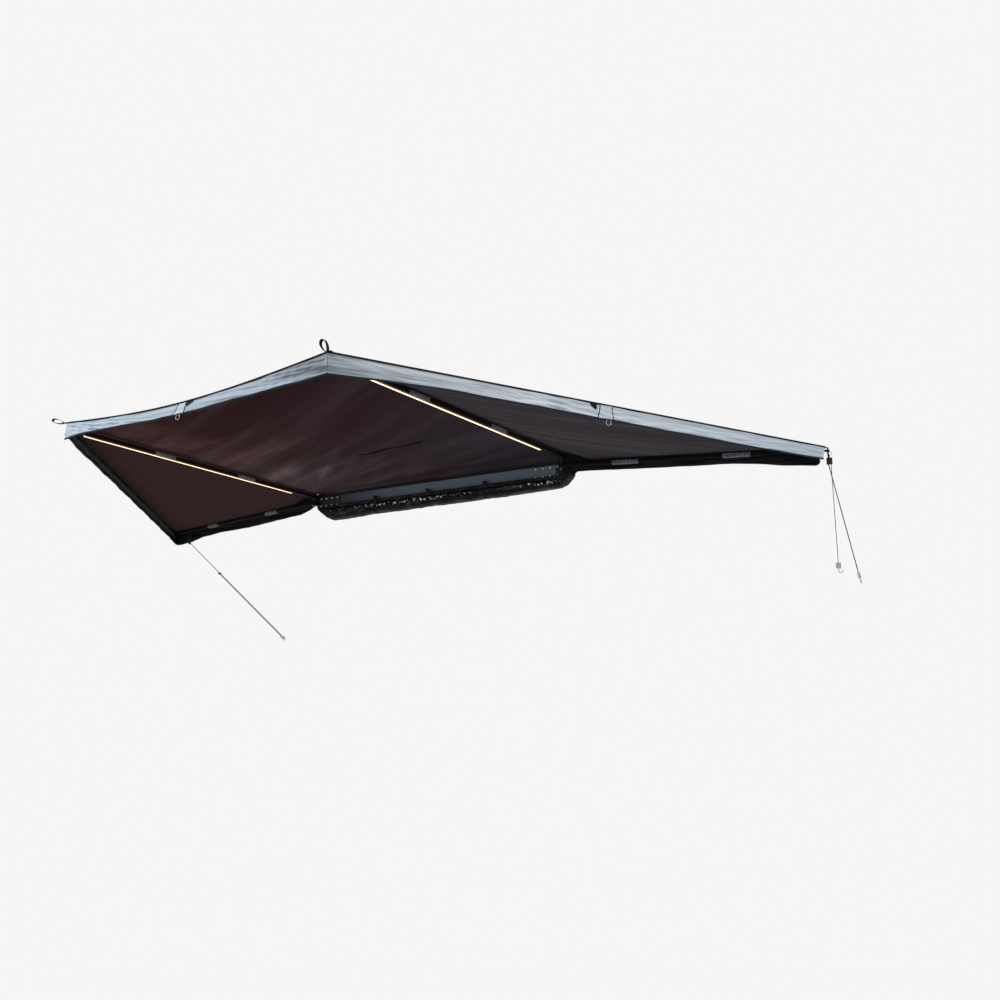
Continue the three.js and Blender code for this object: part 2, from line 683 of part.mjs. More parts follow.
const ledChannel = (arm) => {
  const half = ledWidth / 2;
  const channel = new THREE.Shape();
  channel.moveTo(-half, -ledTop);
  channel.lineTo(-half, -ledTop - ledHeight);
  channel.lineTo(-half + ledWall, -ledTop - ledHeight);
  channel.lineTo(-half + ledWall, -ledTop - ledWall);
  channel.lineTo(half - ledWall, -ledTop - ledWall);
  channel.lineTo(half - ledWall, -ledTop - ledHeight);
  channel.lineTo(half, -ledTop - ledHeight);
  channel.lineTo(half, -ledTop);
  return placeArm(arm, alongX(channel, ledStart, arm.ledEnd));
};
const ledDiffuser = (arm) => {
  const height = ledHeight - ledWall - seatGap;
  const length = arm.ledEnd - ledStart;
  return placeArm(arm, block(length, ledWidth - 2 * ledWall - 2 * seatGap, height, ledStart + length / 2, 0,
    -ledTop - ledHeight + height / 2));
};

// The lug on the front wing's tip that carries the guy ring
const ringLug = () => {
  const at = frontWingReach - tipCapLength / 2;
  const sideEnd = ringLugSide + ringLugThickness / 2;
  const lugEnd = ringLugOut + ringLugHeight / 2;
  const half = ringLugThickness / 2;
  const aside = block(ringLugThickness, sideEnd, ringLugHeight, at, sideEnd / 2, 0);
  const ahead = block(ringLugAhead + ringLugThickness, ringLugThickness, ringLugHeight, at + ringLugAhead / 2,
    ringLugSide, 0);
  const lugStart = ringLugSide - half;
  const lugMiddle = (lugEnd + lugStart) / 2;
  const end = block(ringLugThickness, lugEnd - lugStart, ringLugHeight, at + ringLugAhead, lugMiddle, 0);
  const bore = new THREE.CylinderGeometry(ringLugBore, ringLugBore, ringLugThickness + overrun, 16)
    .rotateZ(Math.PI / 2).translate(at + ringLugAhead, ringLugOut, 0);
  return cut(join(aside, ahead, end), bore);
};

for (const [key, label] of [['rearMid', 'rear_mid'], ['frontMid', 'front_mid'], ['rearWing', 'rear_wing'],
  ['frontWing', 'front_wing']]) {
  const arm = arms[key];
  add(awning, `${label}_knuckle`, knuckle(arm), blackMetal);
  add(awning, `${label}_arm`, beam(arm), blackMetal);
  add(awning, `${label}_inner_wrap`, placeArm(arm, wrapBand(arm.wraps[0], wrapLength)), wrapCloth);
  add(awning, `${label}_outer_wrap`, placeArm(arm, wrapBand(arm.wraps[1], wrapLength)), wrapCloth);
  add(awning, `${label}_tip_cap`, arm === arms.frontWing ? tipCap(arm, ringLug()) : tipCap(arm),
    arm === arms.rearMid ? tan : moulded);
  if (arm.ledEnd) {
    add(awning, `${label}_led_channel`, ledChannel(arm), blackMetal);
    add(awning, `${label}_led_diffuser`, ledDiffuser(arm), glow);
  }
}

// Headings and outward directions of the canopy's three outer edges
const flat = (vector) => new THREE.Vector3(vector.x, vector.y, 0);
const outwardOf = (heading) => new THREE.Vector3(heading.y, -heading.x, 0);
const edgeBetween = (fromArm, toArm, out) => {
  const from = armPoint(fromArm, fromArm.reach, 0, 0);
  const heading = flat(armPoint(toArm, toArm.reach, 0, 0).sub(from)).normalize();
  return { heading, out: outwardOf(heading), start: flat(from).addScaledVector(outwardOf(heading), out) };
};
const rearEdge = edgeBetween(arms.rearWing, arms.rearMid, wingEdgeOut);
const middleEdge = edgeBetween(arms.rearMid, arms.frontMid, midEdgeOut);
const frontEdge = edgeBetween(arms.frontMid, arms.frontWing, wingEdgeOut);
const freeEdge = (arm, side) => {
  const start = armPoint(arm, 0, side * freeEdgeOut, 0);
  const heading = flat(armPoint(arm, arm.reach, side * freeEdgeOut, 0).sub(start)).normalize();
  const out = heading.clone().applyAxisAngle(new THREE.Vector3(0, 0, 1), side * Math.PI / 2);
  return { heading, out, start: flat(start) };
};
const rearFree = freeEdge(arms.rearWing, -1);
const frontFree = freeEdge(arms.frontWing, 1);
const meet = (one, other) => {
  const turn = one.heading.x * other.heading.y - one.heading.y * other.heading.x;
  const apart = other.start.clone().sub(one.start);
  const reach = (apart.x * other.heading.y - apart.y * other.heading.x) / turn;
  return one.start.clone().addScaledVector(one.heading, reach);
};
const clothMiddle = seatGap + clothThickness / 2;
const cornerAt = (arm, one, other) => {
  const corner = meet(one, other);
  corner.z = armPoint(arm, arm.reach, 0, arm.rise).z + clothMiddle;
  return corner;
};
const corners = [
  cornerAt(arms.rearWing, rearFree, rearEdge),
  cornerAt(arms.rearMid, rearEdge, middleEdge),
  cornerAt(arms.frontMid, middleEdge, frontEdge),
  cornerAt(arms.frontWing, frontEdge, frontFree),
];

// Canopy panels, each spread between two arms
const blend = (one, other, share) => one.clone().lerp(other, share);
const crownOf = { rear: rearCrown + clothThickness / 2, front: frontCrown + clothThickness / 2 };
const hubPoint = (edgeStart, corner, crown) => {
  const toward = flat(corner).sub(edgeStart).normalize();
  const spot = edgeStart.clone().addScaledVector(toward, hubFan);
  spot.z = crown;
  return spot;
};
const pivotFlat = (side) => new THREE.Vector3(side * pivotX, pivotY, 0);
const spread = (a, b, c, d, sag, edgeSag) => (u, v) => {
  const spot = blend(blend(a, b, u), blend(d, c, u), v);
  spot.z -= (sag * Math.sin(Math.PI * v) + edgeSag * v * v) * Math.sin(Math.PI * u);
  return spot;
};
const aside = (point, heading, amount) => point.clone().addScaledVector(outwardOf(heading), amount);
const seam = (side, corner) => {
  const heading = flat(corner).sub(pivotFlat(side)).normalize();
  return (point, amount) => aside(point, heading, amount);
};
const rearSeam = seam(-1, corners[1]);
const frontSeam = seam(1, corners[2]);
const halfSplit = seatGap / 2;
const rearPanel = spread(
  hubPoint(rearFree.start, corners[0], crownOf.rear),
  rearSeam(hubPoint(pivotFlat(-1), corners[1], crownOf.rear), halfSplit),
  rearSeam(corners[1], halfSplit),
  corners[0], wingSag, wingEdgeSag);
const frontPanel = spread(
  frontSeam(hubPoint(pivotFlat(1), corners[2], crownOf.front), -halfSplit),
  hubPoint(frontFree.start, corners[3], crownOf.front),
  corners[3],
  frontSeam(corners[2], -halfSplit), wingSag, wingEdgeSag);
const lift = (point, z) => new THREE.Vector3(point.x, point.y, z);
const middleField = spread(
  rearSeam(lift(pivotFlat(-1), crownOf.rear), -halfSplit),
  frontSeam(lift(pivotFlat(1), crownOf.front), halfSplit),
  frontSeam(corners[2], halfSplit),
  rearSeam(corners[1], -halfSplit), middleSag, middleEdgeSag);
const trackRun = trackEnd - trackMouth;
const middlePanel = (u, v) => {
  const along = v * middleRows;
  const shoulder = crownOf.rear + (crownOf.front - crownOf.rear) * u;
  const stations = [
    new THREE.Vector3(trackRun * (2 * u - 1), trackY, boreHeight),
    new THREE.Vector3(trackRun * (2 * u - 1), trackY, trackTop + flapRise),
    new THREE.Vector3(pivotX * (2 * u - 1), trackY - shoulderIn, shoulder),
    middleField(u, 0),
  ];
  const last = stations.length - 1;
  if (along >= last) return middleField(u, (along - last) / (middleRows - last));
  const step = Math.floor(along);
  return blend(stations[step], stations[step + 1], along - step);
};
const bead = alongX(new THREE.Shape().absarc(trackY, boreHeight, trackBore - 2 * seatGap, 0, 2 * Math.PI),
  -trackRun, trackRun, 3);
const middleSheet = sheet(middlePanel, panelColumns, middleRows, clothThickness);
add(awning, 'canopy_middle', join(middleSheet, bead), darkCanvas);

// Hanging cloth: valances along the outer edges, flaps along the free sides
const miter = (one, other) => one.out.clone().add(other.out).divideScalar(1 + one.out.dot(other.out));
const foldAt = (u, waves) => {
  const ends = Math.min(1, foldFade * Math.sin(Math.PI * u));
  const turn = 2 * Math.PI * waves * u;
  return ends * (Math.sin(turn) + foldMix * Math.sin(foldRatio * turn + foldPhase)) / (1 + foldMix);
};
const between = (table, share) => {
  const next = Math.max(1, table.findIndex(([stop]) => stop >= share));
  const [[stopA, a], [stopB, b]] = [table[next - 1], table[next]];
  return a + (b - a) * (share - stopA) / (stopB - stopA);
};
const hanging = (from, to, fromOut, toOut, out, drops, fold, flare, waves, layer, edgeSag) => (u, v) => {
  const off = layer + (flare + fold) * v;
  const start = from.clone().addScaledVector(fromOut, off);
  const end = to.clone().addScaledVector(toOut, off);
  const spot = blend(start, end, u).addScaledVector(out, fold * foldAt(u, waves) * v);
  spot.z += clothThickness / 2 - v * between(drops, u) - edgeSag * Math.sin(Math.PI * u);
  return spot;
};
const inset = (from, to, amount = cornerEase) =>
  from.clone().addScaledVector(flat(to).sub(flat(from)).normalize(), amount);
const valanceOf = (from, to, fromOut, toOut, edge, waves, drops, edgeSag) => (layer) =>
  hanging(inset(from, to), inset(to, from), fromOut, toOut, edge.out, drops, valanceFold, valanceFlare, waves,
    layer, edgeSag);
const rearMiter = miter(rearEdge, middleEdge);
const frontMiter = miter(middleEdge, frontEdge);
const slantOut = frontEdge.out.clone().addScaledVector(frontEdge.heading, -frontEndSlant);
const valances = {
  rear: valanceOf(corners[0], corners[1], rearEdge.out, rearMiter, rearEdge, rearWaves, rearDrops, wingEdgeSag),
  middle: valanceOf(corners[1], corners[2], rearMiter, frontMiter, middleEdge, middleWaves, middleDrops,
    middleEdgeSag),
  front: valanceOf(corners[2], corners[3], frontMiter, slantOut, frontEdge, frontWaves, frontDrops, wingEdgeSag),
};
const valanceLayer = seatGap + valanceThickness / 2;
const flapOf = (free, hub, corner, drops, hemStop) => {
  const edgeLine = hubPoint(free.start, corner, hub);
  const run = corner.clone().sub(edgeLine);
  const start = edgeLine.clone().addScaledVector(run, (hemStart - hubFan) / run.length());
  const stop = inset(corner, start, hemStop);
  const surface = hanging(start, stop, free.out, free.out, free.out, drops, hemFold, 0, hemWaves, 0, 0);
  return sheet(surface, hemColumns, hemRows, valanceThickness);
};
add(awning, 'canopy_rear', join(sheet(rearPanel, panelColumns, panelRows, clothThickness),
  flapOf(rearFree, crownOf.rear, corners[0], rearHemDrops, rearHemStop)), darkCanvas);
add(awning, 'canopy_front', join(sheet(frontPanel, panelColumns, panelRows, clothThickness),
  flapOf(frontFree, crownOf.front, corners[3], frontHemDrops, frontHemStop)), darkCanvas);

// Valances; two have a patch sewn on in the middle, with a sleeve that carries a steel ring
const patchLayer = valanceLayer + valanceThickness / 2;
const turnTo = (geometry, heading, spot) =>
  geometry.rotateZ(Math.atan2(heading.y, heading.x)).translate(spot.x, spot.y, spot.z);
const valanceSheet = (place) =>
  sheet(valances[place](valanceLayer), valanceColumns, valanceRows, valanceThickness);
add(awning, 'valance_rear', valanceSheet('rear'), greyCanvas);
const valanceWithRing = (place, edge, from, to) => {
  const surface = valances[place](patchLayer);
  const half = patchWidth / 2 / from.distanceTo(to);
  const top = 1 - patchShare;
  const patchSpot = (u, v) => surface(0.5 + (2 * u - 1) * half, top + (1 - top) * v);
  const patch = sheet(patchSpot, patchColumns, valanceRows, patchThickness);
  const sleeveRise = ringWire + sleeveArch + 2 * seatGap;
  const sleeveOut = ringWire + 2 * seatGap;
  const middle = surface(0.5, 1).add(new THREE.Vector3(0, 0, -sleeveRise / 2 - sleeveWall + sleeveSink));
  const outer = block(sleeveLength, sleeveOut + 2 * sleeveWall, sleeveRise + 2 * sleeveWall, 0, 0, 0);
  const inner = block(sleeveLength + overrun, sleeveOut, sleeveRise, 0, 0, 0);
  const sleeve = turnTo(cut(outer, inner), edge.heading, middle);
  add(awning, `valance_${place}`, join(valanceSheet(place), patch, sleeve), greyCanvas);
  const ringDrop = sleeveRise / 2 - seatGap - ringWire / 2 - ringRadius;
  const ringMiddle = middle.clone().add(new THREE.Vector3(0, 0, ringDrop));
  const ring = new THREE.TorusGeometry(ringRadius, ringWire / 2, 8, 22).rotateX(Math.PI / 2);
  add(awning, `guy_ring_${place}`, turnTo(ring, edge.heading, ringMiddle), steel);
};
valanceWithRing('middle', middleEdge, corners[1], corners[2]);
valanceWithRing('front', frontEdge, corners[2], corners[3]);

// Webbing loops sewn to the canopy's two middle corners
const tieLoop = (corner, start, tilt, turn) => {
  const half = loopLength / 2;
  const outline = new THREE.Shape().absellipse(half, 0, half, loopWidth / 2, 0, 2 * Math.PI);
  outline.holes.push(new THREE.Path()
    .absellipse(half, 0, half - webThickness, loopWidth / 2 - webThickness, 0, 2 * Math.PI, true));
  const band = new THREE.ExtrudeGeometry(outline, { depth: webWidth, bevelEnabled: false, curveSegments: 14 })
    .translate(0, 0, -webWidth / 2).rotateX(Math.PI / 2).rotateY(-tilt * radians)
    .translate(start, 0, 0);
  const tab = block(loopTab, webWidth, webThickness, start + webThickness - loopTab / 2, 0, 0);
  return join(band, tab).rotateZ(turn * radians)
    .translate(corner.x, corner.y, corner.z + clothThickness / 2 + seatGap + webThickness / 2);
};
add(awning, 'rear_tie_loop', tieLoop(corners[1], rearLoopStart, rearLoopTilt, rearLoopTurn), webbing);
add(awning, 'front_tie_loop', tieLoop(corners[2], frontLoopStart, frontLoopTilt, frontLoopTurn), webbing);

// Straight rods and parts laid along a rope: local -Z follows the rope's run
const ropeBasis = (run) => {
  const up = run.clone().normalize().negate();
  const across = new THREE.Vector3(0, 0, 1).cross(up).normalize();
  return new THREE.Matrix4().makeBasis(across, up.clone().cross(across), up);
};
const laid = (geometry, run, origin) =>
  geometry.applyMatrix4(ropeBasis(run)).translate(origin.x, origin.y, origin.z);
const rod = (from, to, radius, sides = 8) => {
  const run = to.clone().sub(from);
  return laid(post(radius, -run.length(), 0, 0, 0, sides), run, from);
};
const beyond = (from, to, amount) => to.clone().addScaledVector(to.clone().sub(from).normalize(), amount);
const point = (place) => new THREE.Vector3(...place);
const boreFor = (diameter) => diameter / 2 + seatGap;
const hookHead = (run, peg, bores) => {
  const shank = [[0, 0, overrun], [0, 0, -hookShank], [hookRadius, 0, -hookShank - hookRadius],
    [2 * hookRadius, 0, -hookShank], [2 * hookRadius, 0, -hookShank + hookTip]];
  const wire = tube(shank, hookWire, 8, 16).translate(0, 0, -fittingLength + ropeSeat);
  const body = block(fittingWidth, fittingDepth, fittingLength, 0, 0, ropeSeat - fittingLength / 2);
  return cut(laid(join(body, wire), run, peg), ...bores);
};

// Rear guy: a clip on the arm, the main rope, a slider and a second strand down to one hook
const clipAlong = rearWingReach - clipInset;
const clipHalf = armHeight / 2 + seatGap + clipWall;
const clipBand = () => {
  const outline = roundedShape(armWidth + 2 * seatGap + 2 * clipWall, 2 * clipHalf, armCorner + clipWall);
  outline.holes.push(roundedShape(armWidth + 2 * seatGap, armHeight + 2 * seatGap, armCorner, THREE.Path));
  return alongX(outline, clipAlong - clipLength / 2, clipAlong + clipLength / 2);
};
const rearRopeFoot = armPoint(arms.rearWing, clipAlong, 0, -clipHalf - bossDrop + ropeSeat);
const rearRopeEnd = point(rearPeg);
const rearRun = rearRopeEnd.clone().sub(rearRopeFoot);
const boss = block(bossLength, bossDepth, bossDrop, clipAlong, 0, -clipHalf - bossDrop / 2 + seatGap);
const clipBoreTop = rearRopeFoot.clone().addScaledVector(rearRun, -seatGap / rearRun.length());
const clipBore = rod(clipBoreTop, rearRopeEnd, boreFor(ropeDiameter));
add(awning, 'rear_guy_clip', cut(placeArm(arms.rearWing, join(clipBand(), boss)), clipBore), moulded);
const rearSpots = ropeBasis(rearRun);
const strandShift = new THREE.Vector3(strandGap, 0, 0).applyMatrix4(rearSpots);
const sliderAt = blend(rearRopeFoot, rearRopeEnd, sliderShare);
const strandTop = sliderAt.clone().add(strandShift);
const strandEnd = rearRopeEnd.clone().add(strandShift);
add(awning, 'rear_guy_rope', rod(rearRopeFoot, rearRopeEnd, ropeDiameter / 2), rope);
const knotOutline = [[0, 0], [knotRadius, knotTaper], [knotRadius, knotHeight - knotTaper], [0, knotHeight]];
const knotSolid = turned(knotOutline, 10).translate(0, 0, sliderHeight / 2 + seatGap);
const knot = laid(knotSolid, rearRun, strandTop);
const strandRod = rod(beyond(strandEnd, strandTop, sliderHeight), strandEnd, thinRopeDiameter / 2);
add(awning, 'rear_guy_strand', join(strandRod, knot), rope);
const sliderBlock = block(strandGap + fittingDepth, fittingDepth, sliderHeight, strandGap / 2, 0, 0);
const slider = laid(sliderBlock, rearRun, sliderAt);
add(awning, 'rear_guy_slider', cut(slider, rod(rearRopeFoot, rearRopeEnd, boreFor(ropeDiameter)),
  rod(beyond(strandEnd, strandTop, fittingLength), strandEnd, boreFor(thinRopeDiameter))), moulded);
const rearHookAt = blend(rearRopeEnd, strandEnd, 0.5);
add(awning, 'rear_guy_hook', hookHead(rearRun, rearHookAt, [
  rod(rearRopeFoot, beyond(rearRopeFoot, rearRopeEnd, seatGap), boreFor(ropeDiameter)),
  rod(strandTop, beyond(strandTop, strandEnd, seatGap), boreFor(thinRopeDiameter)),
]), steel);

// Front guy: a ring through the lug, a tensioner and two ropes down to a hook each
const lugAlong = frontWingReach - tipCapLength / 2 + ringLugAhead;
const ringTop = -ringLugBore + guyRingWire / 2 + 3 * seatGap;
const frontRingAt = armPoint(arms.frontWing, lugAlong, ringLugOut, ringTop - guyRingRadius);
const frontRing = new THREE.TorusGeometry(guyRingRadius, guyRingWire / 2, 8, 22).rotateX(Math.PI / 2)
  .rotateZ(arms.frontWing.angle * radians).translate(frontRingAt.x, frontRingAt.y, frontRingAt.z);
add(awning, 'front_guy_ring', frontRing, steel);
const ringFoot = ringTop - 2 * guyRingRadius;
const tensionerTop = ringFoot + ringLugHeight / 2;
const tensionerAt = (x, z) => armPoint(arms.frontWing, lugAlong + x, ringLugOut, z);
const tensionerBody = block(tensionerWidth, tensionerDepth, tensionerHeight, lugAlong, ringLugOut,
  tensionerTop - tensionerHeight / 2);
const tensionerEye = new THREE.CylinderGeometry(ringLugBore, ringLugBore, tensionerWidth + overrun, 16)
  .rotateZ(Math.PI / 2).translate(lugAlong, ringLugOut, ringFoot + ringTop);
const tensionerWaist = block(tensionerWidth, tensionerDepth + overrun, tensionerDrop, 0, ringLugOut,
  tensionerTop - tensionerDrop / 2 + overrun);
const waistShift = (tensionerWidth + ringLugThickness) / 2;
const ropeFootZ = tensionerTop - tensionerHeight + ropeSeat;
const ropeShift = tensionerWidth / 4;
const mainFoot = tensionerAt(-ropeShift, ropeFootZ);
const thinFoot = tensionerAt(ropeShift, ropeFootZ);
const frontRopes = [
  { name: 'front_guy_rope', from: mainFoot, to: point(frontPeg), diameter: ropeDiameter, material: rope },
  { name: 'front_guy_strand', from: thinFoot, to: point(sidePeg), diameter: thinRopeDiameter, material: paleRope },
];
add(awning, 'front_guy_tensioner', cut(placeArm(arms.frontWing, cut(tensionerBody, tensionerEye,
  tensionerWaist.clone().translate(lugAlong - waistShift, 0, 0),
  tensionerWaist.clone().translate(lugAlong + waistShift, 0, 0))),
...frontRopes.map(({ from, to, diameter }) => rod(beyond(to, from, seatGap), to, boreFor(diameter)))), moulded);
for (const { name, from, to, diameter, material } of frontRopes) {
  add(awning, name, rod(from, to, diameter / 2), material);
}
for (const { name, from, to, diameter } of frontRopes) {
  add(awning, `${name}_hook`, hookHead(to.clone().sub(from), to,
    [rod(from, beyond(from, to, seatGap), boreFor(diameter))]), steel);
}

export default awning;
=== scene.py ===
"""A vehicle side awning, opened, in a plain pale studio."""
import math

import bmesh
import bpy
import numpy as np
from mathutils import Matrix, Vector


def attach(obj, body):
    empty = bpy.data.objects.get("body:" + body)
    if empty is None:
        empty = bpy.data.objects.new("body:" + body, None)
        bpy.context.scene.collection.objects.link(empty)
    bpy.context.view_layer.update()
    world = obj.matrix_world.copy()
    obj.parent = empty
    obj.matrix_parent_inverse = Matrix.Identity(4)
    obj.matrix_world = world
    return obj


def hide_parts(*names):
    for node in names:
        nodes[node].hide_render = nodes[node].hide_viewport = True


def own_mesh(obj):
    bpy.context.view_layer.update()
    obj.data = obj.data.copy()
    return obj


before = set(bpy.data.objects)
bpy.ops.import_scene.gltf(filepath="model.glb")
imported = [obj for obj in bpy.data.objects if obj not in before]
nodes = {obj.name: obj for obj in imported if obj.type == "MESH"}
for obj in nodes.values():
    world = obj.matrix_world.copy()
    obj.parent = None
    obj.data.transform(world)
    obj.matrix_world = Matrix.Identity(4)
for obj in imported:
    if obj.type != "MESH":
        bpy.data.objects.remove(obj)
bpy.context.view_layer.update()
rng = np.random.default_rng(7)
FULL_TURN = 2 * math.pi
CLOTH = 0.0014

# Camera, solved from the photograph
FOCAL_PX, PICTURE_PX, SENSOR_MM, FAR_CLIP = 915.887, 1000.0, 36.0, 200.0
CAMERA_PLACE = (4.1344, -5.1733, -1.3725)
RIGHTWARD = Vector((0.82788, 0.56081, 0.01067))
DOWNWARD = Vector((-0.09926, 0.1652, -0.98125))
FORWARD = Vector((-0.55205, 0.8113, 0.19243))
camera_data = bpy.data.cameras.new("camera")
camera_data.sensor_width = SENSOR_MM
camera_data.lens = FOCAL_PX * SENSOR_MM / PICTURE_PX
camera_data.clip_end = FAR_CLIP
camera = bpy.data.objects.new("camera", camera_data)
bpy.context.scene.collection.objects.link(camera)
camera_turn = Matrix((RIGHTWARD, -DOWNWARD, -FORWARD)).transposed().to_4x4()
camera.matrix_world = Matrix.Translation(CAMERA_PLACE) @ camera_turn
bpy.context.scene.camera = camera


# Helpers for meshes
def new_object(name, mesh):
    obj = bpy.data.objects.new(name, mesh)
    bpy.context.scene.collection.objects.link(obj)
    return obj


def mesh_from(name, points, faces):
    mesh = bpy.data.meshes.new(name)
    mesh.from_pydata([tuple(p) for p in points], [], faces)
    mesh.validate()
    mesh.update()
    mesh.shade_smooth()
    return new_object(name, mesh)


def solid(name, points, faces, look):
    """A closed solid whose faces all look outward."""
    obj = mesh_from(name, points, faces)
    work = bmesh.new()
    work.from_mesh(obj.data)
    bmesh.ops.recalc_face_normals(work, faces=work.faces)
    work.to_mesh(obj.data)
    work.free()
    obj.data.materials.append(look)
    return obj


def tube_faces(n, m, base=0, closed=False):
    """Faces between n rings of m points, numbered from base."""
    faces = []
    for i in range(n if closed else n - 1):
        a, b = base + i * m, base + (i + 1) % n * m
        faces += [[a + j, a + (j + 1) % m, b + (j + 1) % m, b + j] for j in range(m)]
    return faces


def lids(n, m):
    """The end faces of n rings of m points."""
    return [list(range(m))[::-1], [(n - 1) * m + j for j in range(m)]]


def grid_normals(points):
    across = np.gradient(points, axis=1)
    along = np.gradient(points, axis=0)
    normal = np.cross(across, along)
    return normal / np.maximum(np.linalg.norm(normal, axis=2, keepdims=True), 1e-12)


def cloth(name, points, materials, part=None, upright=False):
    """A closed sheet from a (rows, columns, 3) grid. Upper, lower and rim faces take the first, second and last
    material. part picks a run of columns, and the shading still follows the whole grid, so that parts meet
    without a line."""
    normal = grid_normals(points)
    if not upright and normal[points.shape[0] // 2, points.shape[1] // 2, 2] < 0:
        points = points[::-1]
        normal = grid_normals(points)
    if part is not None:
        points, normal = points[:, part], normal[:, part]
    row_count, column_count = points.shape[:2]
    count = row_count * column_count
    index = np.arange(count).reshape(row_count, column_count)
    upper = np.stack([index[:-1, :-1], index[:-1, 1:], index[1:, 1:], index[1:, :-1]], axis=2).reshape(-1, 4)
    lower = upper[:, ::-1] + count
    rim = np.concatenate([index[0, :], index[1:, -1], index[-1, -2::-1], index[-2:0:-1, 0]])
    ahead = np.roll(rim, -1)
    edge = np.stack([ahead, rim, rim + count, ahead + count], axis=1)
    faces = np.concatenate([upper, lower, edge])
    rise = normal * CLOTH / 2
    corners = np.concatenate([(points + rise).reshape(-1, 3), (points - rise).reshape(-1, 3)])
    mesh = bpy.data.meshes.new(name)
    mesh.from_pydata(corners.tolist(), [], faces.tolist())
    for look in materials:
        mesh.materials.append(look)
    faced = len(upper)
    kinds = np.zeros(len(faces), dtype=np.int32)
    kinds[faced:2 * faced] = min(1, len(materials) - 1)
    kinds[2 * faced:] = len(materials) - 1
    mesh.polygons.foreach_set("material_index", kinds)
    smooth = np.ones(len(faces), dtype=bool)
    smooth[2 * faced:] = False
    mesh.polygons.foreach_set("use_smooth", smooth)
    flat = normal.reshape(-1, 3)
    shading = np.zeros((len(faces), 4, 3))
    shading[:faced] = flat[upper]
    shading[faced:2 * faced] = -flat[upper[:, ::-1]]
    mesh.normals_split_custom_set(shading.reshape(-1, 3).tolist())
    mesh.update()
    return new_object(name, mesh)


def hanging_cloth(name, points, out, looks, part=None):
    """A hanging strip: its outer face takes the first material, its inner face the second."""
    if grid_normals(points).reshape(-1, 3).mean(axis=0) @ np.append(out, 0.0) < 0:
        points = points[::-1]
    return cloth(name, points, looks, part, upright=True)


def sweep(name, path, section, look, closed=False, ups=None):
    """A closed solid that carries a closed section, points in (side, up), along a path."""
    path, section = np.asarray(path, float), np.asarray(section, float)
    if closed:
        tangent = np.roll(path, -1, axis=0) - np.roll(path, 1, axis=0)
    else:
        tangent = np.gradient(path, axis=0)
    tangent /= np.linalg.norm(tangent, axis=1, keepdims=True)
    rings = []
    up = None
    for i, (spot, ahead) in enumerate(zip(path, tangent)):
        if ups is not None:
            up = np.asarray(ups[i], float)
        elif up is None:
            up = np.array([0.0, 0.0, 1.0]) if abs(ahead[2]) < 0.9 else np.array([1.0, 0.0, 0.0])
        up = up - ahead * np.dot(up, ahead)
        up /= np.linalg.norm(up)
        rings.append(spot + section[:, :1] * np.cross(up, ahead) + section[:, 1:] * up)
    n, m = len(path), len(section)
    faces = tube_faces(n, m, closed=closed) + ([] if closed else lids(n, m))
    return solid(name, np.concatenate(rings), faces, look)


def lofted(name, rings, look, inner=None):
    """A closed solid through rings of points; with inner rings too it is a sleeve with a wall."""
    rings = np.asarray(rings)
    n, m = rings.shape[:2]
    points = rings.reshape(-1, 3)
    faces = tube_faces(n, m)
    if inner is None:
        return solid(name, points, faces + lids(n, m), look)
    base, last = n * m, (n - 1) * m
    faces += [face[::-1] for face in tube_faces(n, m, base)]
    for j in range(m):
        k = (j + 1) % m
        faces.append([k, j, base + j, base + k])
        faces.append([last + j, last + k, base + last + k, base + last + j])
    return solid(name, np.concatenate([points, np.asarray(inner).reshape(-1, 3)]), faces, look)


def circle(radius, sides):
    turned = np.linspace(0, FULL_TURN, sides, endpoint=False)
    return np.stack([radius * np.cos(turned), radius * np.sin(turned)], axis=1)


def flat_section(width, height, corner=0.3, steps=3):
    """A rectangle with rounded corners; corner is a share of half the smaller side."""
    radius = min(width, height) / 2 * corner
    points = []
    for cx, cy, start in ((1, 1, 0), (-1, 1, 90), (-1, -1, 180), (1, -1, 270)):
        for k in range(steps + 1):
            a = math.radians(start + 90 * k / steps)
            points.append((cx * (width / 2 - radius) + radius * math.cos(a),
                           cy * (height / 2 - radius) + radius * math.sin(a)))
    return np.array(points)


# Helpers for materials
def material(name, color, roughness=0.5, metallic=0.0, shine=0.5):
    made = bpy.data.materials.new(name)
    made.use_nodes = True
    shader = made.node_tree.nodes["Principled BSDF"]
    for socket, value in (("Base Color", (*color, 1.0)), ("Roughness", roughness), ("Metallic", metallic),
                          ("Specular IOR Level", shine)):
        shader.inputs[socket].default_value = value
    return made, made.node_tree, shader


def feed(tree, value, socket):
    """Gives a socket a number, a vector, a colour or another socket's output."""
    if hasattr(value, "links"):
        tree.links.new(value, socket)
    else:
        socket.default_value = (*value, 1.0) if socket.type == "RGBA" else value


def node(tree, kind, **values):
    """A node, with its inputs and its settings given by name."""
    made = tree.nodes.new(kind)
    for key, value in values.items():
        if key in made.inputs:
            feed(tree, value, made.inputs[key])
        else:
            setattr(made, key, value)
    return made


def paint(tree, shader, color):
    tree.links.new(color, shader.inputs["Base Color"])


def computed(tree, operation, first, second):
    made = node(tree, "ShaderNodeMath", operation=operation)
    feed(tree, first, made.inputs[0])
    feed(tree, second, made.inputs[1])
    return made.outputs[0]


def mixed(tree, kind, share, first, second):
    """Two colours put together; each value is a constant or a socket."""
    made = node(tree, "ShaderNodeMixRGB", blend_type=kind, Fac=share, Color1=first, Color2=second)
    return made.outputs["Color"]


def own_place(tree):
    return node(tree, "ShaderNodeTexCoord").outputs["Object"]


def mapped(tree, vector, **values):
    return node(tree, "ShaderNodeMapping", Vector=vector, **values).outputs["Vector"]


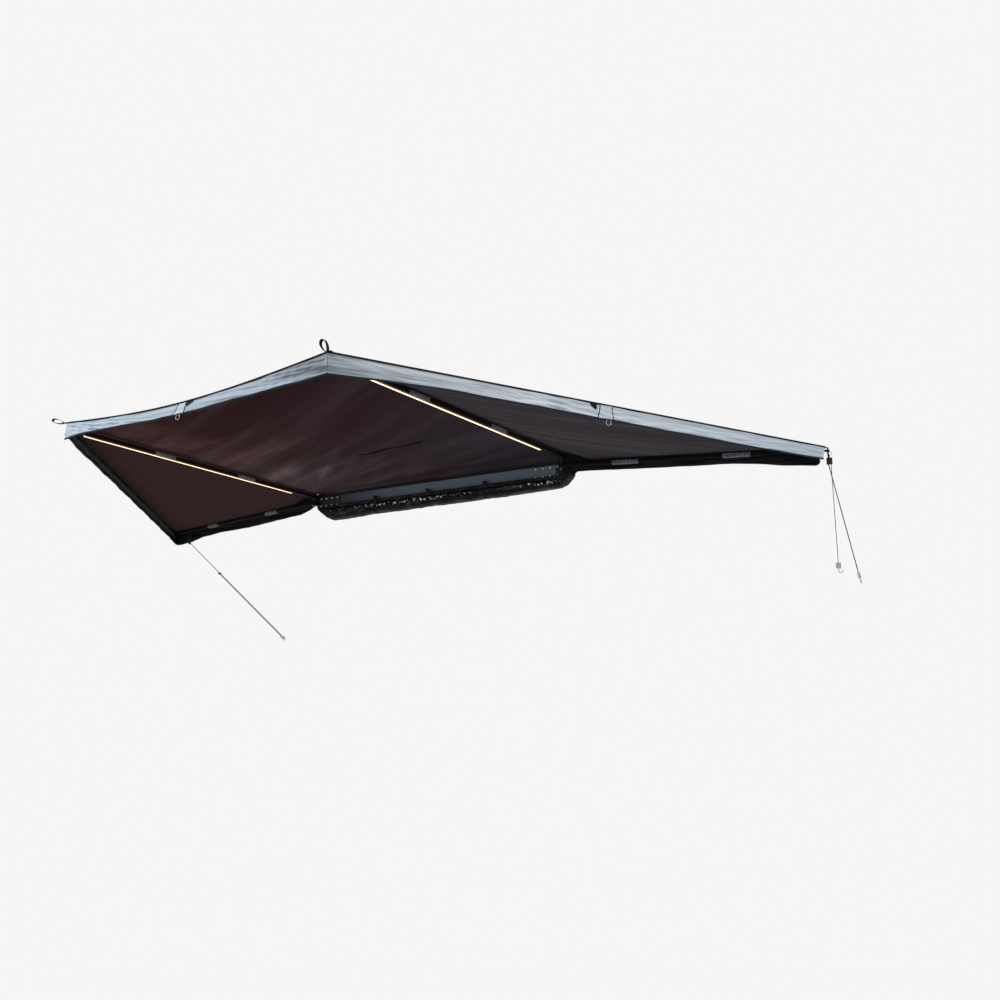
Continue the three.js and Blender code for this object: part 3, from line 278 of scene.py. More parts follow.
def coordinates(tree, scale=(1, 1, 1), turn=0):
    """The object's own coordinates, turned about Z by some degrees and then scaled."""
    return mapped(tree, mapped(tree, own_place(tree), Rotation=(0, 0, math.radians(-turn))), Scale=scale)


def axes_of(tree, vector):
    return node(tree, "ShaderNodeSeparateXYZ", Vector=vector).outputs


def noise(tree, vector, scale, detail=3.0, rough=0.5):
    made = node(tree, "ShaderNodeTexNoise", Vector=vector, Scale=scale, Detail=detail, Roughness=rough)
    return made.outputs["Fac"]


def ramp(tree, value, stops):
    """Colours by value: each stop is (value, colour or grey level)."""
    made = node(tree, "ShaderNodeValToRGB", Fac=value)
    elements = made.color_ramp.elements
    while len(elements) < len(stops):
        elements.new(0.5)
    for element, (position, color) in zip(elements, stops):
        element.position = position
        element.color = (*(color if isinstance(color, tuple) else (color,) * 3), 1.0)
    return made.outputs["Color"]


def bump(tree, shader, height, distance, strength=1.0, below=None):
    made = node(tree, "ShaderNodeBump", Height=height, Distance=distance, Strength=strength)
    if below is not None:
        tree.links.new(below, made.inputs["Normal"])
    tree.links.new(made.outputs["Normal"], shader.inputs["Normal"])
    return made.outputs["Normal"]


def shaded(tree, value, color, low, high, at=0.3):
    """The colour from low to high times as bright, by value."""
    dark, light = tuple(c * low for c in color), tuple(min(1.0, c * high) for c in color)
    return ramp(tree, value, [(at, dark), (1 - at, light)])


def place_share(tree, axis, low, high):
    """0 where the object's coordinate along the axis is low, 1 where it is high."""
    place = axes_of(tree, coordinates(tree))[axis]
    share = node(tree, "ShaderNodeMapRange", Value=place, **{"From Min": low, "From Max": high})
    return share.outputs["Result"]


def tinted(tree, color, axis, low, high, tints):
    """A colour multiplied by tints that change along an axis of the object."""
    return mixed(tree, "MULTIPLY", 1.0, color, ramp(tree, place_share(tree, axis, low, high), tints))


def coated_metal(name, color, roughness, metallic=0.55, shine=0.5, tones=()):
    made, tree, shader = material(name, color, roughness, metallic, shine)
    vector = coordinates(tree, GRAIN_STRETCH)
    coat = shaded(tree, noise(tree, vector, 40, 4), color, 0.8, 1.25)
    for tone in tones:
        coat = tinted(tree, coat, *tone)
    paint(tree, shader, coat)
    bump(tree, shader, noise(tree, vector, 900, 2), 0.0002, 0.35)
    return made


def moulded(name, color, roughness=0.55, shine=0.4):
    made, tree, shader = material(name, color, roughness, shine=shine)
    vector = coordinates(tree)
    paint(tree, shader, shaded(tree, noise(tree, vector, 60), color, 0.85, 1.2, 0.35))
    bump(tree, shader, noise(tree, vector, 1600, 2), 0.0002, 0.5)
    return made


def bright_metal(name, color, roughness=0.28):
    made, tree, shader = material(name, color, roughness, 1.0)
    value = noise(tree, coordinates(tree), 220, 5)
    paint(tree, shader, shaded(tree, value, color, 0.75, 1))
    bump(tree, shader, value, 0.0001, 0.4)
    return made


def weave(tree, vector, pitch):
    """Threads both ways, raised, from two crossed waves."""
    waves = [node(tree, "ShaderNodeTexWave", Vector=vector, Scale=1 / pitch / 3.0, Distortion=0.2,
                  bands_direction=direction) for direction in ("X", "Y")]
    return computed(tree, "MULTIPLY", *[made.outputs["Fac"] for made in waves])


def fan(tree, centre, across, along):
    """Noise drawn out into rays from a centre."""
    moved = mapped(tree, own_place(tree), Location=(-centre[0], -centre[1], 0))
    axes = axes_of(tree, moved)
    reach = node(tree, "ShaderNodeVectorMath", operation="LENGTH", Vector=moved).outputs["Value"]
    both = node(tree, "ShaderNodeCombineXYZ", X=computed(tree, "ARCTAN2", axes["Y"], axes["X"]), Y=reach)
    return noise(tree, mapped(tree, both.outputs["Vector"], Scale=(across, along, 1)), 1, 4, 0.5)


def fabric(name, color, roughness=0.85, pitch=0.0009, mottled=0.12, shine=0.05, crease=0.0,
           crease_scale=(3, 3, 3), streaks=None, tones=(), calm_share=None, painted_fans=()):
    """Woven cloth. streaks is (turn in degrees, scale, colour stops) for long soft streaks along the turned X;
    the canopy, the valances and the black canvas use them as painted light and shade on creases. Each of the
    tones is (axis, low, high, colour stops) and tints the cloth along that axis of the object, used here as
    painted light and shade. calm_share says in the same way how much of the streaks shows. painted_fans are
    rays of painted light and shade on wrinkles: (centre, number across, along, brightest, limits). Each limit
    is (axis, where they end, where they are full)."""
    made, tree, shader = material(name, color, roughness, shine=shine)
    vector = coordinates(tree)
    if streaks:
        turn, scale, stops = streaks
        cloth_color = ramp(tree, noise(tree, coordinates(tree, scale, turn), 1, 5, 0.55), stops)
    else:
        cloth_color = shaded(tree, noise(tree, vector, 9, 5, 0.6), color, 1 - mottled, 1 + mottled, 0.35)
    for centre, across, along, lift, limits in painted_fans:
        rays = ramp(tree, fan(tree, centre, across, along), [(0.36, 0.85), (0.5, 1.0), (0.68, lift)])
        share = 1.0
        for limit in limits:
            share = computed(tree, "MULTIPLY", share, place_share(tree, *limit))
        cloth_color = mixed(tree, "MULTIPLY", share, cloth_color, rays)
    if calm_share:
        axis, low, high, shares = calm_share
        share = ramp(tree, place_share(tree, axis, low, high), shares)
        cloth_color = mixed(tree, "MIX", share, color, cloth_color)
    for tone in tones:
        cloth_color = tinted(tree, cloth_color, *tone)
    paint(tree, shader, cloth_color)
    threads = bump(tree, shader, weave(tree, vector, pitch), 0.0003, 0.5)
    if crease:
        bump(tree, shader, noise(tree, coordinates(tree, crease_scale), 4, 4, 0.55), crease, 1.0, threads)
    return made


def braid(name, color, fleck):
    made, tree, shader = material(name, color, 0.75)
    cells = node(tree, "ShaderNodeTexVoronoi", Vector=coordinates(tree), Scale=700.0).outputs["Distance"]
    paint(tree, shader, ramp(tree, cells, [(0.2, color), (0.75, fleck)]))
    bump(tree, shader, cells, 0.0006, 0.8)
    return made


def cloth_with_painted_glints(name, color, places):
    """Coated black cloth with shade and sheen painted along its folds and highlights painted on its wrinkles as
    glints; each place is (axis, low, high, shares) and limits where they show.
    """
    made, tree, shader = material(name, color, 0.5, shine=0.06)
    folds = noise(tree, coordinates(tree, (9, 26, 34)), 1, 4, 0.5)
    glints = ramp(tree, noise(tree, coordinates(tree, (60, 40, 60)), 1, 3, 0.55),
                  [(0.57, 0.0), (0.62, (0.8, 0.81, 0.84))])
    for place in places:
        glints = tinted(tree, glints, *place)
    painted_fold_shading = ramp(tree, folds, [(0.35, (0.006, 0.006, 0.007)), (0.55, (0.015, 0.015, 0.016)),
                              (0.75, (0.06, 0.06, 0.064))])
    paint(tree, shader, mixed(tree, "ADD", 1.0, painted_fold_shading, glints))
    bump(tree, shader, folds, 0.003)
    return made


# Where the hub brackets show screw heads, and where they turn black
HEAD_LIMITS = (("X", "LESS_THAN", 1.106), ("Y", "GREATER_THAN", 0.0255), ("Z", "LESS_THAN", 0.036))
BLACK_FROM = 1.08


def bracket_coat(name, color):
    """A coated plate with bright screw heads that stand off its front, and black past the board's end."""
    made, tree, shader = material(name, color, 0.5, 0.3)
    grain = noise(tree, coordinates(tree, GRAIN_STRETCH), 40, 4)
    either_side = node(tree, "ShaderNodeVectorMath", operation="ABSOLUTE", Vector=own_place(tree))
    axes = axes_of(tree, either_side.outputs["Vector"])
    heads = 1.0
    for axis, kind, edge in HEAD_LIMITS:
        heads = computed(tree, "MULTIPLY", heads, computed(tree, kind, axes[axis], edge))
    outboard = computed(tree, "GREATER_THAN", axes["X"], BLACK_FROM)
    plate = mixed(tree, "MIX", outboard, shaded(tree, grain, color, 0.75, 1.3), (0.008, 0.009, 0.01))
    paint(tree, shader, mixed(tree, "MIX", heads, plate, (0.85, 0.85, 0.87)))
    bump(tree, shader, grain, 0.0002, 0.35)
    return made


def lamp_look(name, color, glow, strength):
    made, tree, shader = material(name, color, 0.4)
    shining = shaded(tree, noise(tree, coordinates(tree), 30, 2), glow, 0.92, 1)
    tree.links.new(shining, shader.inputs["Emission Color"])
    shader.inputs["Emission Strength"].default_value = strength
    return made


# Materials
GRAIN_STRETCH = (1, 12, 12)
slate = coated_metal("slate_coat", (0.145, 0.185, 0.23), 0.42,
                     tones=[("X", -1.1, 1.1, [(0.08, 0.3), (0.3, 0.9), (0.45, 1.0)])])
black_coat = coated_metal("black_coat", (0.005, 0.005, 0.006), 0.6, 0.0, 0.06)
track_coat = coated_metal("track_coat", (0.01, 0.011, 0.012), 0.6, 0.0, 0.1)
steel = bright_metal("bright_steel", (0.42, 0.425, 0.43))
black_plastic = moulded("black_moulding", (0.01, 0.01, 0.011), 0.6, 0.15)
tan_plastic = moulded("tan_moulding", (0.5, 0.26, 0.08))

# The canopy's underside: brown, with painted light and shade for the creases that follow the pull of each
# panel, and painted rays of light and shade fanning from the outer corner and from the rear hub
BROWN, BROWN_DARK, BROWN_LIGHT = (0.034, 0.0185, 0.0185), (0.029, 0.0158, 0.0158), (0.046, 0.0285, 0.029)
BROWN_PAINTED_CREASES = [(0.34, BROWN_DARK), (0.5, BROWN), (0.66, BROWN_LIGHT)]
GREYER_PAINTED_CREASES = [(0.3, (0.03, 0.0255, 0.0295)), (0.5, (0.039, 0.0335, 0.0385)), (0.72, (0.06, 0.054, 0.062))]
PAINTED_OUTER_FAN = ((1.43, -2.02), 11, 0.9, 1.75, [("X", 0.45, -0.35)])
PAINTED_HUB_RAYS = ((-1.142, -0.06), 9, 0.7, 1.45, [("Y", -1.15, -0.45), ("X", -1.08, -0.6)])
# Painted light on the middle panel: brighter at the rear and bluer towards the front, redder out towards its
# edge and brighter and bluer near the board
FRONTWARD_PAINTED_LIGHT = ("X", -1.1, 1.1, [
    (0.0, (1.45, 1.62, 1.64)), (0.2, (1.34, 1.44, 1.45)), (0.38, (1.0, 1.08, 1.12)), (0.6, (0.84, 0.92, 1.03)),
    (1.0, (0.76, 1.02, 1.2))])
INWARD_PAINTED_LIGHT = ("Y", -2.3, 0.0, [
    (0.0, (1.0, 0.74, 0.74)), (0.35, (1.0, 0.84, 0.84)), (0.55, (0.98, 1.0, 1.0)), (0.75, (0.97, 1.14, 1.22)),
    (1.0, (1.08, 1.2, 1.3))])
under_rear = fabric("dark_canvas_rear", BROWN, streaks=(100, (0.5, 1.5, 1), [(0.3, BROWN), (0.7, BROWN)]),
                    crease=0.003, shine=0.0)
under_middle = fabric("dark_canvas_middle", BROWN, streaks=(157, (0.3, 5, 1), BROWN_PAINTED_CREASES), crease=0.003,
                      shine=0.0, painted_fans=(PAINTED_OUTER_FAN, PAINTED_HUB_RAYS), tones=[FRONTWARD_PAINTED_LIGHT, INWARD_PAINTED_LIGHT])
under_front = fabric("dark_canvas_front", BROWN, streaks=(48, (0.4, 15, 1), GREYER_PAINTED_CREASES), crease=0.003,
                     shine=0.0)
# Black canvas whose streaks are painted soft highlights on its creases; on the rear valance's inside its black
# is painted shade
black_painted_shade_and_sheen = fabric("black_canvas", (0.008, 0.008, 0.009), 0.8, shine=0.02, crease=0.003,
                     streaks=(0, (3, 3, 24), [(0.42, (0.006, 0.006, 0.007)), (0.72, (0.022, 0.022, 0.025))]))
# A lighter black, painted light: a band where the rear valance's inside catches light, and a highlight along
# the flaps' hems
painted_lit_black = fabric("painted_lit_black_canvas", (0.042, 0.04, 0.044), 0.85, shine=0.0)

# The valances' outer side: grey, with long fine lines of painted shade and light in its creases that show
# most round the middle, and painted light and shade that changes along the run
GREY = (0.37, 0.425, 0.47)
GREY_PAINTED_CREASES = [(0.3, (0.1, 0.115, 0.13)), (0.42, (0.28, 0.32, 0.355)), (0.5, GREY), (0.68, (0.43, 0.49, 0.54))]
GREY_PAINTED_LIGHT = ("X", -1.0, 2.75, [
    (0.0, (1.0, 1.04, 1.1)), (0.2, (0.95, 0.98, 1.02)), (0.36, (0.78, 0.81, 0.85)), (0.5, (0.7, 0.73, 0.76)),
    (0.57, (0.54, 0.55, 0.56)), (0.62, (0.85, 0.84, 0.83)), (0.72, (1.13, 1.09, 1.06)),
    (1.0, (0.94, 0.97, 1.03))])
GREY_CALM = ("X", -1.0, 2.75, [(0.0, 0.2), (0.3, 0.45), (0.5, 1.0), (0.65, 1.0), (0.8, 0.55), (1.0, 0.45)])
top_canvas = fabric("grey_canvas", GREY, crease=0.004, crease_scale=(2, 2, 12),
                    streaks=(0, (1.3, 1.3, 36), GREY_PAINTED_CREASES), tones=[GREY_PAINTED_LIGHT], calm_share=GREY_CALM)
roof_canvas = fabric("roof_canvas", (0.4, 0.455, 0.5), mottled=0.05, crease=0.003)
patch_canvas = fabric("patch_canvas", (0.37, 0.435, 0.49), mottled=0.04)
piping = fabric("piping", (0.012, 0.012, 0.014), 0.7, pitch=0.0006)
hem_tape = fabric("hem_tape", (0.016, 0.02, 0.028), 0.7, pitch=0.0006)
black_seam = fabric("black_seam", (0.003, 0.003, 0.0035), 0.8, shine=0.0)
wrap_cloth = fabric("wrap_cloth", (0.1, 0.097, 0.108), 0.85, pitch=0.0016, crease=0.003,
                    streaks=(0, (70, 70, 70), [(0.4, (0.06, 0.058, 0.066)), (0.6, (0.15, 0.145, 0.162))]))
black_webbing = fabric("black_webbing", (0.012, 0.012, 0.014), 0.75, pitch=0.0014)
dark_rope = braid("dark_rope", (0.008, 0.0075, 0.007), (0.05, 0.042, 0.036))
brown_rope = braid("brown_rope", (0.02, 0.013, 0.009), (0.22, 0.085, 0.03))
pale_rope = braid("pale_rope", (0.035, 0.034, 0.033), (0.14, 0.135, 0.13))
# The painted glints show in a band along the bag's upper front, in patches along its length, on its front side
bag_cloth = cloth_with_painted_glints("bag_cloth", (0.006, 0.006, 0.007), [
    ("Z", -0.1362, -0.0282, [(0.4, 0.0), (0.5, 1.0), (0.68, 1.0), (0.76, 0.0)]),
    ("X", -1.1, 1.2, [(0.0, 0.0), (0.08, 0.25), (0.2, 0.25), (0.27, 1.0), (0.6, 1.0), (0.68, 0.1), (0.82, 0.1),
                      (0.86, 1.0), (0.92, 1.0), (0.95, 0.1)]),
    ("Y", -0.04, 0.032, [(0.45, 1.0), (0.6, 0.0)]),
])
rear_hub_coat = bracket_coat("rear_hub_coat", (0.014, 0.016, 0.018))
front_hub_coat = bracket_coat("front_hub_coat", (0.1, 0.125, 0.15))
lit = lamp_look("lit_lens", (1.0, 0.8, 0.5), (1.0, 0.83, 0.55), 1.5)
# The LED channel is no lamp; its amber glow is painted light from the LED
lit_channel = lamp_look("lit_channel", (0.02, 0.015, 0.01), (0.62, 0.27, 0.03), 0.38)
LOOKS = {"rear": under_rear, "middle": under_middle, "front": under_front}

ARMS = ("rear_mid", "front_mid", "rear_wing", "front_wing")
DRESSES = (
    (slate, ["backboard"]),
    (track_coat, ["canopy_track"]),
    (rear_hub_coat, ["rear_hub_bracket"]),
    (front_hub_coat, ["front_hub_bracket"]),
    (lit_channel, ["rear_mid_led_channel", "front_mid_led_channel"]),
    (black_coat, ["rear_rack_bracket", "front_rack_bracket", *[f"{arm}_{kind}" for arm in ARMS
                                                               for kind in ("arm", "knuckle")]]),
    (black_plastic, ["rear_board_cap", "front_board_cap", "front_mid_tip_cap", "rear_wing_tip_cap",
                     "front_wing_tip_cap", "rear_guy_clip", "rear_guy_slider", "front_guy_tensioner"]),
    (tan_plastic, ["rear_mid_tip_cap"]),
    (steel, ["rear_pivot_bolt", "front_pivot_bolt", "rear_guy_hook", "front_guy_ring", "front_guy_rope_hook",
             "front_guy_strand_hook"]),
    (lit, ["rear_mid_led_diffuser", "front_mid_led_diffuser"]),
    (black_webbing, ["bag_zip"]),
)
for look, names in DRESSES:
    for name in names:
        nodes[name].data.materials.clear()
        nodes[name].data.materials.append(look)

# Where the arms stand: hub x, direction in degrees, outer side once folded, joint
POST_X, HUB_Y = 1.142, -0.06
SWINGS = {
    "rear_mid": (-POST_X, -84.6, -1, "rear_mid_fold"),
    "front_mid": (POST_X, -89.1, 1, "front_mid_fold"),
    "rear_wing": (-POST_X, 171.2, -1, "rear_wing_fold"),
    "front_wing": (POST_X, 15.1, 1, "front_wing_fold"),
}
# The arm that carries each half of a panel, and how far outside the arm it gathers
HOLDERS = {
    "rear": (("rear_wing", 0.05), ("rear_mid", 0.075)),
    "middle": (("rear_mid", 0.1), ("front_mid", 0.05)),
    "front": (("front_mid", 0.075), ("front_wing", 0.1)),
}


def heading(degrees):
    return np.array((math.cos(math.radians(degrees)), math.sin(math.radians(degrees)), 0))


def share_grid(rows, columns):
    """Shares from 0 to 1 down the rows and along the columns."""
    return np.meshgrid(np.linspace(0, 1, rows), np.linspace(0, 1, columns), indexing="ij")


def fixed(piece, body, replaced):
    """piece rides a body in place of a solid."""
    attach(piece, body)
    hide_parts(replaced)
    return piece


def carry(piece, holder, replaced=None):
    """piece rides on its holder's arm as the arm folds; the holder's stand-off, how far outside the arm it
    would gather, is not used.
    """
    arm, stand_off = holder
    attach(piece, arm + "_swing")
    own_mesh(piece)
    if replaced:
        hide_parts(replaced)
    return piece


# Guy ropes, held taut: start, end, diameter, look, body, slot and what they carry
ROPES = {
    "rear_guy_rope": ((-3.0675, 0.23808, -0.14249), (-1.817, 0.311, -1.036), 0.006, dark_rope,
                      "rear_wing_swing", "dark_rope", ["rear_guy_slider", "rear_guy_hook"]),
    "rear_guy_strand": ((-2.63882, 0.25006, -0.44825), (-1.81624, 0.29802, -1.036), 0.0045, brown_rope,
                        "rear_wing_swing", "dark_rope", ["rear_guy_hook"]),
    "front_guy_rope": ((2.7347, 0.42153, -0.05443), (2.862, 0.468, -0.745), 0.006, dark_rope,
                       "front_wing_swing", "dark_rope", ["front_guy_rope_hook"]),
    "front_guy_strand": ((2.75111, 0.42596, -0.05451), (2.717, 0.596, -0.663), 0.0045, pale_rope,
                         "front_wing_swing", "pale_rope", ["front_guy_strand_hook"]),
}
for name, (start, end, diameter, look, body, slot_name, carried) in ROPES.items():
    path = np.linspace(start, end, 40)
    rope = sweep(name + "_braid", path, circle(diameter / 2, 12), look)
    fixed(rope, body, name)

# Canopy corners, crowns over the hubs and edge directions
TIPS = [np.array(t) for t in ((-3.31198, 0.27593), (-0.93355, -2.26514), (1.17679, -2.27473),
                              (2.70025, 0.36045))]
CORNERS = [np.array(c) for c in ((-3.37281, 0.31166, -0.018), (-0.94602, -2.28109, 0.0923),
                                 (1.1965, -2.287, 0.1085), (2.74607, 0.39974, 0.02941))]
CROWNS = {"rear": 0.0756, "front": 0.1206}
HUBS = {"rear": np.array((-POST_X, HUB_Y)), "front": np.array((POST_X, HUB_Y))}
HUB_FAN, EDGE_OFF, HALF_GAP = 0.012, 0.026, 0.00015
UPWARD = np.array((0, 0, 1))


def unit(v):
    return v / np.linalg.norm(v)


def miter(a, b):
    return (a + b) / (1 + a @ b)


def arm_side(arm):
    _, angle, side, _ = SWINGS[arm]
    return heading(angle + 90)[:2] * side


HEADINGS = [unit(TIPS[i + 1] - TIPS[i]) for i in range(3)]
OUTS = [np.array((h[1], -h[0])) for h in HEADINGS]
FREE = {"rear": arm_side("rear_wing"), "front": arm_side("front_wing")}
FREE_START = {k: HUBS[k] + FREE[k] * EDGE_OFF for k in HUBS}
FREE_DIPS, DIP_RUN, DIP_SPREAD = {"rear": 0.062, "front": 0.066}, 0.12, 1.6


def hub_point(start, corner, crown):
    return np.append(start + unit(corner[:2] - start) * HUB_FAN, crown)


def seam_shift(hub, corner):
    along = unit(corner[:2] - hub)
    return np.array((along[1], -along[0], 0)) * HALF_GAP


def free_dip(place, run):
    """How far a free edge lies below the straight line from its hub to its corner, to follow the arm."""
    return FREE_DIPS[place] * np.clip(run / DIP_RUN, 0, 1) ** 1.5 * (1 - run)


def field(a, b, c, d, u, w, sag, edge_sag=0.0):
    """A sagging four-cornered panel: u runs from side a-d to side b-c, w from a-b to d-c."""
    u, w = u[..., None], w[..., None]
    spot = (a * (1 - u) + b * u) * (1 - w) + (d * (1 - u) + c * u) * w
    dip = sag * np.sin(np.pi * w[..., 0]) + edge_sag * w[..., 0] ** 2
    spot[..., 2] -= dip * np.sin(np.pi * u[..., 0])
    return spot


def ridges(u, w, lines):
    """Pulled creases: each line is (u, w, direction in degrees, pitch, length, width, height)."""
    total = np.zeros_like(u)
    for u0, w0, way, pitch, length, width, height in lines:
        a = math.radians(way)
        along = (u - u0) * math.cos(a) + (w - w0) * math.sin(a)
        across = -(u - u0) * math.sin(a) + (w - w0) * math.cos(a)
        fade = np.exp(-(along / length) ** 2 - (across / width) ** 2)
        total += height * fade * np.cos(FULL_TURN * across / pitch)
    return total


def gentle(u, w, seed, count, low, high, height):
    """Soft random ripples, the same at every run."""
    made = np.random.default_rng(seed)
    total = np.zeros_like(u)
    for _ in range(count):
        k = made.uniform(low, high)
        a = made.uniform(0, np.pi)
        total += np.sin(FULL_TURN * k * (u * math.cos(a) + w * math.sin(a)) + made.uniform(0, 6.3))
    return total * height / math.sqrt(count)


def calm(u, w, rim=0.05):
    """Nought along the sides, one inside."""
    near = [np.clip(share / rim, 0, 1) for share in (u, 1 - u, w, 1 - w)]
    return np.prod(near, axis=0) ** 0.5


# Panels, with creases pulled into each: (u, w, direction in degrees, pitch, length, width, height)
MIDDLE_CREASES = [(0.62, 0.3, 158, 0.06, 0.3, 0.12, 0.005), (0.35, 0.7, 150, 0.08, 0.3, 0.14, 0.004),
                  (0.85, 0.75, 120, 0.09, 0.25, 0.12, 0.003)]
REAR_CREASES = [(0.5, 0.8, 0, 0.2, 0.4, 0.15, 0.002)]
FRONT_CREASES = [(0.5, 0.6, 60, 0.07, 0.4, 0.2, 0.002)]
MIDDLE_SAG, MIDDLE_EDGE_SAG, WING_SAG = 0.026, 0.061, 0.02
COUNT, CENTRE = 121, 60
HALVES = (slice(0, CENTRE + 1), slice(CENTRE, COUNT))
w, u = share_grid(COUNT, COUNT)
shift_rear, shift_front = seam_shift(HUBS["rear"], CORNERS[1]), seam_shift(HUBS["front"], CORNERS[2])
middle = field(np.append(HUBS["rear"], CROWNS["rear"]) - shift_rear,
               np.append(HUBS["front"], CROWNS["front"]) + shift_front,
               CORNERS[2] + shift_front, CORNERS[1] - shift_rear, u, w, MIDDLE_SAG, MIDDLE_EDGE_SAG)
middle[..., 2] += calm(u, w) * (ridges(u, w, MIDDLE_CREASES) + gentle(u, w, 3, 14, 2, 7, 0.0012))
wing_rear = field(hub_point(FREE_START["rear"], CORNERS[0], CROWNS["rear"]),
                  hub_point(HUBS["rear"], CORNERS[1], CROWNS["rear"]) + shift_rear,
                  CORNERS[1] + shift_rear, CORNERS[0], u, w, WING_SAG)
wing_rear[..., 2] -= free_dip("rear", w) * (1 - u) ** DIP_SPREAD
wing_rear[..., 2] += calm(u, w) * (ridges(u, w, REAR_CREASES) + gentle(u, w, 4, 12, 1, 5, 0.001))
wing_front = field(hub_point(HUBS["front"], CORNERS[2], CROWNS["front"]) - shift_front,
                   hub_point(FREE_START["front"], CORNERS[3], CROWNS["front"]),
                   CORNERS[3], CORNERS[2] - shift_front, u, w, WING_SAG)
wing_front[..., 2] -= free_dip("front", w) * u ** DIP_SPREAD
wing_front[..., 2] += calm(u, w) * (ridges(u, w, FRONT_CREASES) + gentle(u, w, 5, 12, 2, 6, 0.001))

# A taped seam across the middle panel, with stitches along its front part
SEAM_SHARE, SEAM_END, SEAM_WIDTH, SEAM_THICK = 0.358, 114, 0.018, 0.0012
STITCHES_FROM, STITCH_OFF, STITCH_RADIUS = 44, np.array((0, 0.004, 0.0018)), 0.0009
seam_row = SEAM_SHARE * (COUNT - 1)
low_row, part_row = int(seam_row), seam_row % 1
seam_line = middle[low_row] * (1 - part_row) + middle[low_row + 1] * part_row
seam_run = np.linspace(CENTRE, SEAM_END, 80)
seam_path = np.stack([np.interp(seam_run, np.arange(COUNT), seam_line[:, k]) for k in range(3)], axis=1)
seam = sweep("canopy_middle_seam", seam_path - UPWARD * CLOTH, flat_section(SEAM_WIDTH, SEAM_THICK), black_seam)
thread = sweep("canopy_middle_stitches", seam_path[STITCHES_FROM:] - STITCH_OFF, circle(STITCH_RADIUS, 6),
               pale_rope)
for piece in (seam, thread):
    carry(piece, HOLDERS["middle"][1])

PANELS = {"rear": (wing_rear, ("wing", "mid")), "middle": (middle, ("rear", "front")),
          "front": (wing_front, ("mid", "wing"))}
for place, (points, ends) in PANELS.items():
    for part, end, holder in zip(HALVES, ends, HOLDERS[place]):
        half = cloth(f"canopy_{place}_{end}_half", points, [roof_canvas, LOOKS[place], piping], part)
        carry(half, holder, "canopy_" + place)
        trims = [seam, thread] if (place, end) == ("middle", "front") else []

# The strip from the track over the hub brackets to the hinge line
TRACK_RUN, SHOULDER_RUN, TRACK_Y, BORE_Z, SHOULDER_Z, CROWN_BACK = 1.089, 1.128, -0.01, 0.0588, 0.0683, 0.008
STRIP_COUNT, STRIP_STEPS, SMOOTHINGS = 91, 8, 6
across = np.linspace(0, 1, STRIP_COUNT)
from_middle, level = 2 * across - 1, np.ones(STRIP_COUNT)
crown_line = CROWNS["rear"] + (CROWNS["front"] - CROWNS["rear"]) * across
stations = [
    np.stack([TRACK_RUN * from_middle, TRACK_Y * level, BORE_Z * level], axis=1),
    np.stack([SHOULDER_RUN * from_middle, TRACK_Y * level, SHOULDER_Z * level], axis=1),
    np.stack([POST_X * from_middle, (TRACK_Y - CROWN_BACK) * level, crown_line], axis=1),
    middle[0, (across * (COUNT - 1)).round().astype(int)] + np.array((0, 0.0004, 0)),
]
strip = np.array([stations[k] * (1 - share) + stations[k + 1] * share
                  for k in range(3) for share in np.arange(STRIP_STEPS) / STRIP_STEPS] + [stations[3]])
for _ in range(SMOOTHINGS):
    strip[1:-1] = 0.25 * strip[:-2] + 0.5 * strip[1:-1] + 0.25 * strip[2:]
shoulder = cloth("canopy_shoulder", strip, [top_canvas, under_middle, piping])
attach(shoulder, "board_body")
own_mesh(shoulder)
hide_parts("canopy_middle")


# Hanging cloth
EDGE_RISE = 0.001


def wave(t, waves, mix=0.6, ratio=2.3):
    return (np.sin(FULL_TURN * waves * t) + mix * np.sin(FULL_TURN * ratio * waves * t + 1)) / (1 + mix)


def crumple(t, v, length, height, seed, count=26, size=0.0016):
    """Long low creases that run nearly along a hanging strip."""
    made = np.random.default_rng(seed)
    x, z = t * length, v * height
    total = np.zeros_like(x)
    for _ in range(count):
        pitch, lean = made.uniform(0.02, 0.06), math.radians(made.uniform(-14, 14))
        middle_at, reach = made.uniform(0, length), made.uniform(0.1, 0.4)
        fade = np.exp(-((x - middle_at) / reach) ** 2)
        turned = FULL_TURN * (z * math.cos(lean) - x * math.sin(lean)) / pitch
        total += fade * np.sin(turned + made.uniform(0, 6.3))
    return total * size


def hanging(start, end, outs, drops, shape, t, v):
    """Points of a strip that hangs from start to end: t runs along it, v down it. outs are its outward
    directions at the start, in between and at the end, drops its depth by share of the run, and shape its
    (fold, flare, waves, layer, sag of the upper edge)."""
    fold, flare, waves, layer, edge_sag = shape
    shares, depths = np.array(drops).T
    t, v = t[..., None], v[..., None]
    off = layer + (flare + fold) * v
    a = start[:2] + outs[0] * off
    b = end[:2] + outs[2] * off
    ends = np.minimum(1, 6 * np.sin(np.pi * t))
    flat = a * (1 - t) + b * t + outs[1] * fold * ends * wave(t, waves) * v
    z = start[2] * (1 - t) + end[2] * t + EDGE_RISE - v * np.interp(t, shares, depths)
    z -= edge_sag * np.sin(np.pi * t)
    return np.concatenate([flat, z], axis=2)


def inset(start, end, amount=0.0008):
    moved = start.copy()
    moved[:2] += unit((end - start)[:2]) * amount
    return moved


def edge_trim(name, points, radius, look, holder):
    """A corded edge along a row of points."""
    return carry(sweep(name, points, circle(radius, 8), look), holder)


